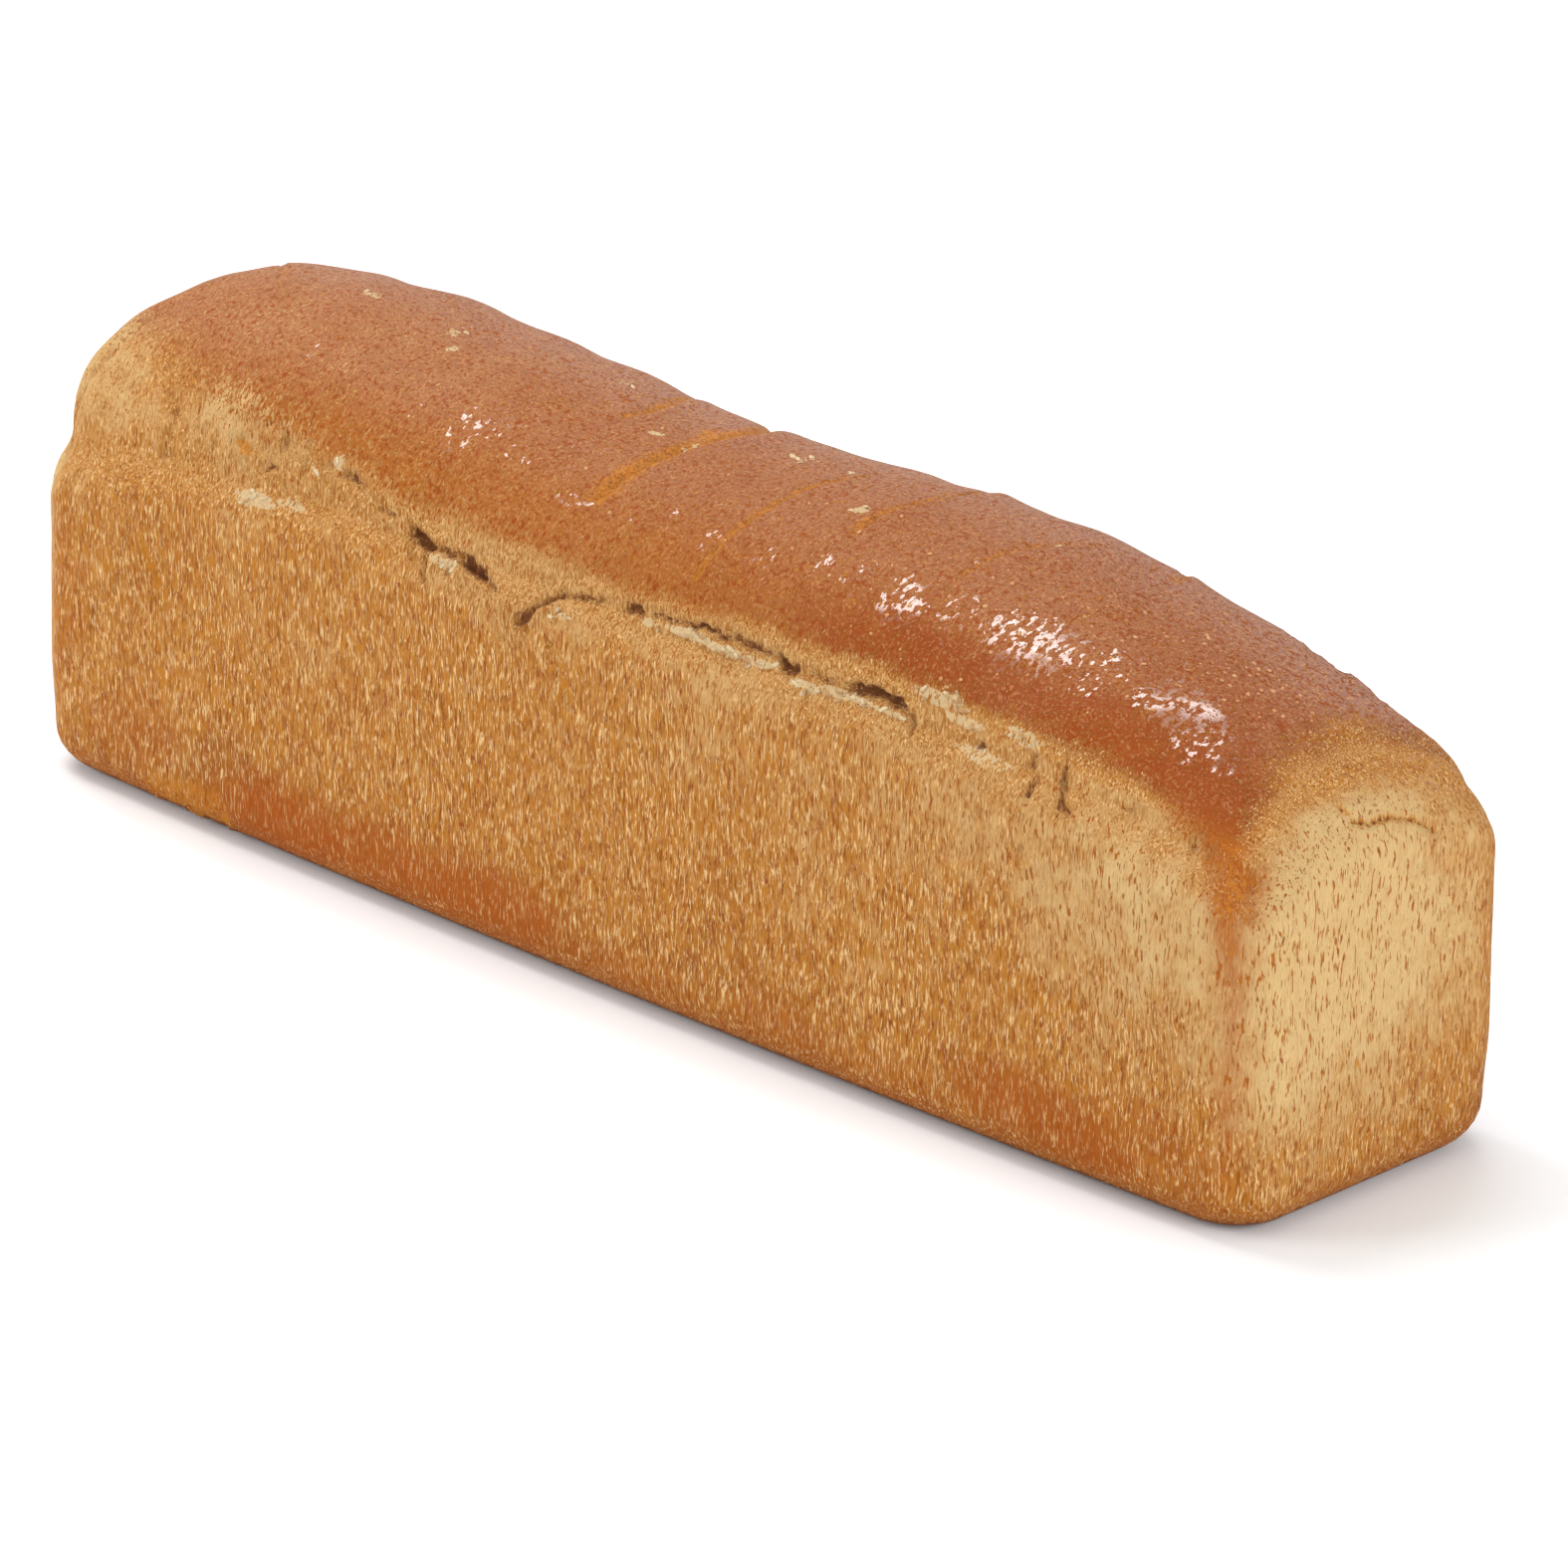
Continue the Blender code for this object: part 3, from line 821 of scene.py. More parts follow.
@dataclass(frozen=True)
class WallMarks:
    """Cracks, darker patches and tones of the walls."""

    side_cracks: tuple[Crack, ...] = (
        Crack(((-0.1710, 0.0000), (-0.1660, -0.0070), (-0.1600, -0.0135), (-0.1575, -0.0180)),
              0.0006, 0.0006, 0.0, 0.25, 0.5),
        Crack(((-0.1540, -0.0230), (-0.1500, -0.0285), (-0.1462, -0.0350)), 0.0009, 0.0010, 0.0003, 0.15, 1.0),
        Crack(((-0.1503, -0.0280), (-0.1497, -0.0420), (-0.1485, -0.0520), (-0.1490, -0.0600)),
              0.0008, 0.0006, 0.0, 0.05, 0.6),
        Crack(((-0.0115, -0.0130), (-0.0090, -0.0175), (-0.0060, -0.0212), (-0.0048, -0.0255)),
              0.0007, 0.0007, 0.0002, 0.15, 0.8),
        Crack(((0.1215, -0.0200), (0.1222, -0.0235), (0.1235, -0.0265)), 0.0004, 0.0005, 0.0, 0.2, 0.2),
    )
    end_cracks: tuple[Crack, ...] = (
        Crack(((-0.0110, 0.0040), (-0.0095, 0.0002), (-0.0060, -0.0018), (0.0030, -0.0025), (0.0095, -0.0050),
               (0.0145, -0.0085)), 0.0009, 0.0009, 0.0005, 0.48, 0.7),
        Crack(((0.0098, -0.0155), (0.0112, -0.0155)), 0.0010, 0.0007, 0.0, 0.1, 0.8),
        Crack(((-0.0150, -0.0240), (-0.0115, -0.0265)), 0.0009, 0.0003, 0.0, 0.0, 0.35),
        Crack(((-0.0075, -0.0255), (-0.0045, -0.0275), (-0.0035, -0.0320)), 0.0007, 0.0003, 0.0, 0.0, 0.35),
        Crack(((-0.0090, -0.0570), (-0.0080, -0.0572)), 0.0010, 0.0005, 0.0, 0.1, 0.6),
    )
    embers: tuple[Patch, ...] = (
        Patch(-0.105, -0.0840, 0.024, 0.0095, 1.0), Patch(-0.068, -0.0845, 0.024, 0.0095, 0.85),
        Patch(-0.035, -0.0840, 0.024, 0.0095, 0.9), Patch(0.005, -0.0890, 0.030, 0.0070, 0.45),
        Patch(0.065, -0.0860, 0.018, 0.0070, 0.5), Patch(0.145, -0.0785, 0.024, 0.0085, 0.85),
        Patch(0.175, -0.0700, 0.016, 0.0080, 0.45), Patch(-0.160, -0.0700, 0.014, 0.0100, 0.35),
        Patch(-0.190, -0.0400, 0.010, 0.0200, 0.30), Patch(-0.180, -0.0310, 0.005, 0.0040, 0.35),
        Patch(-0.140, -0.0200, 0.004, 0.0060, 0.20), Patch(0.105, -0.0840, 0.020, 0.0040, 0.3),
    )
    seam_path: Marks = ((0.1860, 0.095), (0.1905, 0.080), (0.1928, 0.060), (0.1928, 0.030), (0.1922, 0.012))
    seam_width: Marks = ((0.010, 0.0028), (0.055, 0.0030), (0.070, 0.0036), (0.082, 0.0052), (0.092, 0.0080))
    seam_strength: Marks = ((0.010, 0.40), (0.050, 0.55), (0.075, 0.9), (0.095, 0.9))

    def mark(self, at: SkinPlaces) -> dict[str, np.ndarray]:
        """Cracks and patches the walls.

        Args:
            at: The skin's places.

        Returns:
            The relief, and the masks shade, split and ember.
        """
        relief = np.zeros(len(at.x))
        shade = np.zeros(len(at.x))
        split = np.zeros(len(at.x))
        on_end = smooth_step(0.185, 0.193, np.abs(at.x))
        groups = (
            (self.side_cracks, at.x, at.side_up, at.near * at.side),
            (self.end_cracks, at.y, at.end_up, on_end * (at.x > 0)),
        )
        for cracks, along, up, where in groups:
            for crack in cracks:
                reach = distance_to_path(along + 0.0005 * at.fine, up, crack.path) / crack.half_width
                cut = np.exp(-(reach**2)) * where
                relief -= crack.depth * cut
                relief += crack.lip * np.exp(-((reach + 1.8) ** 2)) * where
                # painted shade in the crack
                shade = np.maximum(shade, crack.shade * cut)
                split = np.maximum(split, crack.split * np.exp(-((reach / 1.3) ** 2)) * where)
        ember = np.zeros(len(at.x))
        for patch in self.embers:
            reach = patch.reach(at.x, at.side_up)
            ember = np.maximum(ember, patch.strength * smooth_step(2.6, 0.1, reach + 0.5 * at.coarse + 0.3 * at.fine))
        ember = ember * at.near * (at.z < 0.09)
        seam = distance_to_path(at.x, at.z, self.seam_path)
        thick = straight_line(at.z, self.seam_width)
        strength = straight_line(at.z, self.seam_strength)
        seam = np.exp(-(((seam + 0.0006 * at.fine) / thick) ** 2)) * (at.z < 0.1) * strength
        seam = seam * smooth_step(-0.031, -0.038, at.y + 0.002 * at.fine)
        relief -= 0.0003 * seam
        split = np.maximum(split, 0.4 * seam)
        ember = np.maximum.reduce([ember, seam, 0.6 * smooth_step(0.013, 0.003, at.z + 0.003 * at.fine)])
        # Painted shade: a dark line along the bottom edge, where the foot meets the floor.
        edge = smooth_step(0.0050, 0.0018, at.z + 0.0008 * at.fine)
        shade = np.maximum(shade, 0.75 * edge)
        return {"relief": relief, "shade": shade, "split": split, "ember": ember}

    def tone(self, at: SkinPlaces) -> np.ndarray:
        """Works out how deep the crust's own colour is.

        Args:
            at: The skin's places.

        Returns:
            The tone: 0 is pale, 0.5 is the middle tan and 1 is deep.
        """
        up = at.side_up
        side = 0.50 - 0.27 * smooth_step(0.02, 0.17, at.x) * smooth_step(-0.070, -0.015, up)
        side += 0.16 * smooth_step(-0.055, -0.080, up) + 0.06 * smooth_step(-0.10, -0.18, at.x)
        side -= 0.10 * smooth_step(-0.016, -0.002, up)
        side += 0.20 * smooth_step(0.090, 0.120, at.x) * smooth_step(-0.012, -0.002, up)
        end = 0.42 * smooth_step(-0.040, -0.080, at.end_up) + 0.20 * smooth_step(0.000, 0.025, at.y)
        end += 0.24 * smooth_step(0.026, 0.036, at.y) + 0.10 * smooth_step(-0.030, -0.042, at.y)
        end += 0.50 * smooth_step(-0.002, 0.012, at.end_up)
        far = 0.15 * (~at.near) * smooth_step(0.035, 0.044, at.y)
        on_end = smooth_step(0.186, 0.195, np.abs(at.x)) * (at.end_up < 0.02)
        wall = side * (1 - on_end) + end * on_end + far + 0.16 * at.slow + 0.07 * at.coarse
        dome = 0.30 + 0.30 * smooth_step(-0.17, 0.05, at.x) + 0.15 * smooth_step(0.05, 0.15, at.x)
        low = smooth_step(0.032, 0.012, at.side_up)
        dome += low * (0.60 * smooth_step(0.01, 0.09, at.x) - 0.10) + 0.18 * at.slow + 0.08 * at.coarse
        return np.where(at.on_dome, wall * (1 - low_share(at)) + dome * low_share(at), wall)


def painted_sheen(at: SkinPlaces) -> np.ndarray:
    """Share of the painted sheen, a pinkish-grey reflection of the white surround put into the dome's colour, which
    grows over the dome and fades again on the far side.

    Args:
        at: The skin's places.

    Returns:
        The share at each point.
    """
    grown = 0.3 * smooth_step(0.016, 0.040, at.over) + 0.7 * smooth_step(0.045, 0.085, at.over)
    return grown - 0.6 * smooth_step(0.088, 0.108, at.over) - 0.1 * at.slow


def low_share(at: SkinPlaces) -> np.ndarray:
    """Share of the dome's own tone, which takes over just above the rim."""
    return smooth_step(0.004, 0.012, np.minimum(at.side_up, 0.7 * at.end_up))


@dataclass(frozen=True)
class CrustSurvey:
    """All that the oven did to the crust."""

    rim: TornRim = TornRim()
    dome: DomeMarks = DomeMarks()
    walls: WallMarks = WallMarks()
    fringe: Marks = (
        (-0.0415, -0.006), (-0.0385, 0.002), (-0.032, 0.008), (-0.022, 0.0125), (-0.010, 0.0150),
        (0.002, 0.0155), (0.012, 0.0135), (0.018, 0.0090),
    )
    wave_height: float = 0.0005
    wave_length: float = 0.055

    def study(self, at: SkinPlaces) -> tuple[np.ndarray, dict[Mask, np.ndarray]]:
        """Works out the relief and the masks of the crust.

        Args:
            at: The skin's places.

        Returns:
            The relief outward along the normal, and the masks by name.
        """
        near = self.rim.carve(at, at.side_up, at.x, at.near * at.side)
        far = self.rim.carve(at, at.side_up, -0.93 * at.x + 0.006, 0.5 * (~at.near) * at.side)
        dome = self.dome.fold(at)
        walls = self.walls.mark(at)
        on_end = smooth_step(0.176, 0.186, np.abs(at.x))
        crumbly = np.abs(distance_to_path(at.y, at.end_up, self.fringe))
        crumbly = 0.8 * smooth_step(0.0034, 0.0006, crumbly + 0.0020 * at.fine) * on_end * (at.x > 0)
        relief = self.waves(at.points) * smooth_step(0.004, 0.03, at.z)
        relief += near["relief"] + far["relief"] + dome["relief"] + walls["relief"]
        relief += 0.0007 * crumbly * (0.4 + at.fine) - 0.00012 * at.coarse * smooth_step(0.002, 0.01, at.z)
        foot = smooth_step(0.020, 0.008, at.z) * smooth_step(-0.165, -0.150, at.x) * smooth_step(-0.118, -0.130, at.x)
        relief += 0.0011 * foot * at.near * np.clip(at.shard, -0.3, 1) * smooth_step(0.0005, 0.003, at.z)
        splits = [near["split"], far["split"], dome["split"], walls["split"], 0.5 * foot * at.near]
        masks = {
            Mask.BROWNING: self.dome.browning(at),
            Mask.TONE: self.walls.tone(at),
            Mask.TORN: np.maximum.reduce([near["torn"], far["torn"], crumbly]),
            Mask.EMBER: walls["ember"],
            Mask.SPLIT: np.maximum.reduce(splits),
            Mask.SHADE: np.maximum.reduce([near["shade"], far["shade"], dome["shade"], walls["shade"]]),
            Mask.GLOSS: dome["gloss"],
            # painted sheen over the dome
            Mask.PAINTED_SHEEN: painted_sheen(at) * at.on_dome,
            Mask.FLAKE: np.maximum(near["flake"], far["flake"]),
            Mask.BLISTER: dome["blister"],
        }
        return relief, {name: np.clip(value, 0, 1) for name, value in masks.items()}

    def waves(self, points: np.ndarray) -> np.ndarray:
        """Works out the slow hollows and swellings of the crust.

        Args:
            points: The smooth loaf's points.

        Returns:
            Their height at each point.
        """
        turns = 2 * math.pi / self.wave_length
        x, y, z = points.T
        waves = np.sin(turns * x + 1.3) * np.cos(turns * 0.8 * z + 0.4)
        waves += 0.7 * np.sin(turns * 1.9 * x - 2.1) * np.cos(turns * 1.6 * (z + y) + 1.1)
        return self.wave_height * waves

    def softness(self, at: SkinPlaces) -> np.ndarray:
        """Works out how round the rim's inner corner is.

        Args:
            at: The skin's places.

        Returns:
            The roundness: 0 stays sharp and 1 is the roundest.
        """
        along = np.where(at.near, at.x, -0.93 * at.x)
        opened = straight_line(along, self.rim.openness)
        close = smooth_step(0.013, 0.002, np.minimum(np.abs(at.side_up), np.abs(at.end_up)))
        at_end = np.abs(at.end_up) < np.abs(at.side_up)
        return close * np.where(at_end, 1.0, 1 - 0.85 * opened)


class CrustGroups:
    """Node groups that the crust's finishes share."""

    @staticmethod
    def oven_grain() -> bpy.types.NodeTree:
        """Builds fine light and dark flecks, drawn out along one axis.

        Returns:
            The node group.
        """
        tree = bpy.data.node_groups.new("oven_grain", "ShaderNodeTree")
        group_socket(tree, "Across", "NodeSocketFloat", 0.00042)
        group_socket(tree, "Up", "NodeSocketFloat", 0.0032)
        group_socket(tree, "Seed", "NodeSocketFloat", 0.0)
        group_socket(tree, "Light", "NodeSocketFloat", out=True)
        group_socket(tree, "Dark", "NodeSocketFloat", out=True)
        group_socket(tree, "Height", "NodeSocketFloat", out=True)
        sketch = NodeSketch(tree)
        entry = sketch.add("NodeGroupInput")
        place = sketch.add("ShaderNodeTexCoord").outputs["Object"]
        across = sketch.math("DIVIDE", 1.0, entry.outputs["Across"])
        up = sketch.math("DIVIDE", 1.0, entry.outputs["Up"])
        spread = sketch.add("ShaderNodeCombineXYZ", {0: across, 1: across, 2: up})
        sway = sketch.add("ShaderNodeTexNoise", {"Vector": place, "Scale": 160.0, "Detail": 1.0})
        sway = sketch.add("ShaderNodeVectorMath", {0: sway.outputs["Color"], "Scale": 0.0012}, operation="SCALE")
        bent = sketch.add("ShaderNodeVectorMath", {0: place, 1: sway}, operation="ADD")
        drawn = sketch.add("ShaderNodeVectorMath", {0: bent, 1: spread}, operation="MULTIPLY")
        moved = sketch.add("ShaderNodeVectorMath", {0: drawn, 1: entry.outputs["Seed"]}, operation="ADD")
        first = sketch.add("ShaderNodeTexNoise", {"Vector": moved, "Scale": 1.0, "Detail": 3.0}).outputs[0]
        second = sketch.add("ShaderNodeTexNoise", {"Vector": moved, "Scale": 0.61, "Detail": 2.0}).outputs[0]
        end = sketch.add("NodeGroupOutput")
        sketch.feed(end.inputs["Light"], sketch.limits(first, 0.49, 0.64))
        sketch.feed(end.inputs["Dark"], sketch.limits(second, 0.49, 0.35))
        sketch.feed(end.inputs["Height"], sketch.math("ADD", first, sketch.math("MULTIPLY", second, 0.6)))
        return tree

    @staticmethod
    def crumb_pores() -> bpy.types.NodeTree:
        """Builds the height of torn crumb: ragged threads with small round pores.

        Returns:
            The node group.
        """
        tree = bpy.data.node_groups.new("crumb_pores", "ShaderNodeTree")
        group_socket(tree, "Pore Size", "NodeSocketFloat", 0.0012)
        group_socket(tree, "Height", "NodeSocketFloat", out=True)
        sketch = NodeSketch(tree)
        entry = sketch.add("NodeGroupInput")
        place = sketch.add("ShaderNodeTexCoord").outputs["Object"]
        scale = sketch.math("DIVIDE", 1.0, entry.outputs["Pore Size"])
        cells = sketch.add("ShaderNodeTexVoronoi", {"Vector": place, "Scale": scale}, feature="SMOOTH_F1")
        pores = sketch.limits(cells.outputs["Distance"], 0.42, 0.16)
        values = {"Vector": place, "Scale": sketch.math("MULTIPLY", scale, 1.4), "Detail": 4.0}
        threads = sketch.add("ShaderNodeTexNoise", values).outputs[0]
        height = sketch.math("SUBTRACT", threads, sketch.math("MULTIPLY", pores, 0.5))
        sketch.feed(sketch.add("NodeGroupOutput").inputs["Height"], height)
        return tree


@dataclass(frozen=True)
class BakedCrust:
    """Finish of the loaf's skin: tan matt walls, a glossy brown dome and pale torn crust, with a painted sheen over the
    dome and painted shade in its crevices.
    """

    streak: Colour = (0.80, 0.54, 0.25)
    wall_pale: Colour = (0.59, 0.393, 0.172)
    wall_mid: Colour = (0.425, 0.166, 0.022)
    wall_deep: Colour = (0.23, 0.058, 0.005)
    dome_pale: Colour = (0.320, 0.098, 0.006)
    dome_mid: Colour = (0.285, 0.080, 0.009)
    dome_deep: Colour = (0.240, 0.043, 0.002)
    # painted sheen: the pinkish-grey reflection of the white surround on the dome
    painted_sheen_colour: Colour = (0.315, 0.165, 0.122)
    dome_fleck: Colour = (0.52, 0.25, 0.11)
    torn_pale: Colour = (0.53, 0.315, 0.112)
    torn_deep: Colour = (0.28, 0.092, 0.011)
    flake: Colour = (0.57, 0.43, 0.24)
    ember: Colour = (0.33, 0.074, 0.005)
    split: Colour = (0.50, 0.185, 0.018)
    # painted shade in tears, cracks, folds and along the bottom edge
    painted_crevice_shade: Colour = (0.165, 0.053, 0.020)
    gloss_spot: float = 0.0018
    gloss_share: float = 0.26
    gloss_limits: tuple[float, float] = (0.75, 0.80)
    coat_roughness: float = 0.16
    coat_ior: float = 1.9
    specular_level: float = 0.10
    wall_roughness: float = 0.80
    dome_roughness: float = 0.55
    torn_roughness: float = 0.92
    bump_distance: float = 0.0008
    bump_strength: float = 0.8

    def material(self, grain: bpy.types.NodeTree, pores: bpy.types.NodeTree) -> bpy.types.Material:
        """Builds the material.

        Args:
            grain: Group of flecks.
            pores: Group of torn crumb.

        Returns:
            The material.
        """
        material, sketch, shader = start_material("baked_crust")
        place = sketch.add("ShaderNodeTexCoord").outputs["Object"]
        flecks = sketch.add("ShaderNodeGroup", node_tree=grain)
        specks = sketch.add("ShaderNodeGroup", {"Across": 0.00070, "Up": 0.00095, "Seed": 7.0}, node_tree=grain)
        shreds = sketch.add("ShaderNodeGroup", {"Across": 0.0007, "Up": 0.0032, "Seed": 5.0}, node_tree=grain)
        crumb = sketch.add("ShaderNodeGroup", node_tree=pores)
        rise = sketch.math("SUBTRACT", flecks.outputs["Height"], 0.8)
        jitter = sketch.math("MULTIPLY_ADD", shreds.outputs["Height"], 3.4, -1.72)
        teeth = sketch.math("MULTIPLY_ADD", rise, 3.2, sketch.math("MULTIPLY_ADD", jitter, 0.9, -0.9))
        browning = sketch.limits(sketch.math("ADD", sketch.mask(Mask.BROWNING), teeth), 0.22, 0.78)
        torn = sketch.mask(Mask.TORN)
        shade = sketch.limits(sketch.math("MULTIPLY", sketch.mask(Mask.SHADE), jitter), 0.28, 0.66)
        split = sketch.limits(sketch.math("MULTIPLY", sketch.mask(Mask.SPLIT), jitter), 0.25, 0.65)
        flake = sketch.limits(sketch.math("MULTIPLY", sketch.mask(Mask.FLAKE), jitter), 0.36, 0.56)

        mottle = sketch.math("MULTIPLY_ADD", sketch.grain(place, 0.006, 3.0), 0.60, -0.30)
        tone = sketch.math("ADD", sketch.mask(Mask.TONE), mottle)
        wall = self.wall_colour(sketch, tone, flecks)
        dome = self.dome_colour(sketch, tone, specks)
        colour = sketch.tint(browning, wall, dome)
        pale = sketch.tint(sketch.limits(shreds.outputs["Height"], 0.66, 0.94), self.torn_deep, self.torn_pale)
        pale = sketch.tint(sketch.math("MULTIPLY", flecks.outputs["Light"], 0.7), pale, self.streak)
        pale = sketch.tint(sketch.math("MULTIPLY", flecks.outputs["Dark"], 0.7), pale, self.torn_deep)
        fringe = sketch.math("MULTIPLY", torn, sketch.math("MULTIPLY_ADD", browning, -0.80, 0.80))
        colour = sketch.tint(fringe, colour, pale)
        dimmed = sketch.math("MULTIPLY_ADD", flecks.outputs["Light"], -0.5, 1.0)
        glow = sketch.math("MULTIPLY", sketch.mask(Mask.EMBER), dimmed)
        colour = sketch.tint(glow, colour, self.ember)
        colour = sketch.tint(sketch.math("MULTIPLY", flake, 0.75), colour, self.flake)
        colour = sketch.tint(sketch.math("MULTIPLY", split, 0.75), colour, self.split)
        # Painted shade from the shade mask: tears, cracks, folds and the bottom edge.
        colour = sketch.tint(sketch.math("MULTIPLY", shade, 0.9), colour, self.painted_crevice_shade)
        sketch.feed(shader.inputs["Base Color"], colour)

        slanted = sketch.add("ShaderNodeVectorMath", {0: place, 1: (1.3, 0.7, 1.0)}, operation="MULTIPLY")
        spots = sketch.grain(slanted, self.gloss_spot)
        blobs = sketch.math("MULTIPLY_ADD", sketch.mask(Mask.GLOSS), self.gloss_share, spots)
        glaze = sketch.math("MULTIPLY", sketch.limits(blobs, *self.gloss_limits), browning)
        sketch.feed(shader.inputs["Coat Weight"], glaze)
        shader.inputs["Coat Roughness"].default_value = self.coat_roughness
        shader.inputs["Coat IOR"].default_value = self.coat_ior
        shader.inputs["Specular IOR Level"].default_value = self.specular_level
        rough = sketch.blend(browning, self.wall_roughness, self.dome_roughness)
        dull = sketch.math("MAXIMUM", sketch.math("MULTIPLY", torn, 0.6), shade)
        sketch.feed(shader.inputs["Roughness"], sketch.blend(dull, rough, self.torn_roughness))

        wrinkle = sketch.math("MULTIPLY_ADD", sketch.grain(place, 0.0034, 2.0), 1.3, -0.65)
        bristle = sketch.math("MULTIPLY_ADD", specks.outputs["Height"], 0.8, -0.64)
        height = sketch.blend(browning, sketch.math("MULTIPLY", rise, 1.3), sketch.math("ADD", wrinkle, bristle))
        shredded = sketch.math("MULTIPLY_ADD", jitter, 0.35, -0.49)
        rugged = sketch.math("MULTIPLY_ADD", crumb.outputs["Height"], 0.4, shredded)
        height = sketch.blend(sketch.math("MULTIPLY", torn, 0.6), height, rugged)
        values = {"Height": height, "Distance": self.bump_distance, "Strength": self.bump_strength}
        sketch.feed(shader.inputs["Normal"], sketch.add("ShaderNodeBump", values))
        return material

    def wall_colour(
        self, sketch: NodeSketch, tone: bpy.types.NodeSocket, flecks: bpy.types.Node
    ) -> bpy.types.NodeSocket:
        """Mixes the wall's tans and its light and dark flecks.

        Args:
            sketch: The material's sketch.
            tone: Depth of the colour.
            flecks: Node of the flecks.

        Returns:
            The wall's colour.
        """
        wall = sketch.tint(sketch.limits(tone, 0.0, 0.55), self.wall_pale, self.wall_mid)
        wall = sketch.tint(sketch.limits(tone, 0.5, 1.1), wall, self.wall_deep)
        strength = sketch.math("MULTIPLY_ADD", sketch.limits(tone, 0.05, 0.5), 0.76, 0.08)
        wall = sketch.tint(sketch.math("MULTIPLY", flecks.outputs["Dark"], strength), wall, self.wall_deep)
        return sketch.tint(sketch.math("MULTIPLY", flecks.outputs["Light"], strength), wall, self.streak)

    def dome_colour(
        self, sketch: NodeSketch, tone: bpy.types.NodeSocket, specks: bpy.types.Node
    ) -> bpy.types.NodeSocket:
        """Mixes the dome's browns, its painted sheen and its small specks.

        Args:
            sketch: The material's sketch.
            tone: Depth of the colour.
            specks: Node of the specks.

        Returns:
            The dome's colour.
        """
        dome = sketch.tint(sketch.limits(tone, 0.05, 0.6), self.dome_pale, self.dome_mid)
        dome = sketch.tint(sketch.limits(tone, 0.55, 1.15), dome, self.dome_deep)
        # Painted sheen of the white surround over the dome, with paler flecks where it is strong.
        painted_sheen = sketch.mask(Mask.PAINTED_SHEEN)
        dome = sketch.tint(painted_sheen, dome, self.painted_sheen_colour)
        bright = sketch.math("MULTIPLY_ADD", painted_sheen, 0.45, 0.35)
        dome = sketch.tint(sketch.math("MULTIPLY", specks.outputs["Light"], bright), dome, self.dome_fleck)
        return sketch.tint(sketch.math("MULTIPLY", specks.outputs["Dark"], 0.85), dome, self.dome_deep)


@dataclass(frozen=True)
class DryCrumb:
    """Finish of the loose bits on the crust: dry crumb with toasted tips."""

    name: str
    pale: Colour
    toasted: Colour

    def material(self, grain: bpy.types.NodeTree, pores: bpy.types.NodeTree) -> bpy.types.Material:
        """Builds the material.

        Args:
            grain: Group of flecks.
            pores: Group of torn crumb.

        Returns:
            The material.
        """
        material, sketch, shader = start_material(self.name)
        place = sketch.add("ShaderNodeTexCoord").outputs["Object"]
        crumb = sketch.add("ShaderNodeGroup", {"Pore Size": 0.0007}, node_tree=pores)
        flecks = sketch.add("ShaderNodeGroup", {"Across": 0.0009, "Up": 0.0009, "Seed": 3.0}, node_tree=grain)
        patch = sketch.limits(sketch.grain(place, 0.004), 0.45, 0.65)
        colour = sketch.tint(patch, self.pale, self.toasted)
        colour = sketch.tint(sketch.math("MULTIPLY", flecks.outputs["Dark"], 0.5), colour, self.toasted)
        sketch.feed(shader.inputs["Base Color"], colour)
        shader.inputs["Roughness"].default_value = 0.85
        bump = sketch.add("ShaderNodeBump", {"Height": crumb.outputs["Height"], "Distance": 0.0004, "Strength": 0.5})
        sketch.feed(shader.inputs["Normal"], bump)
        return material


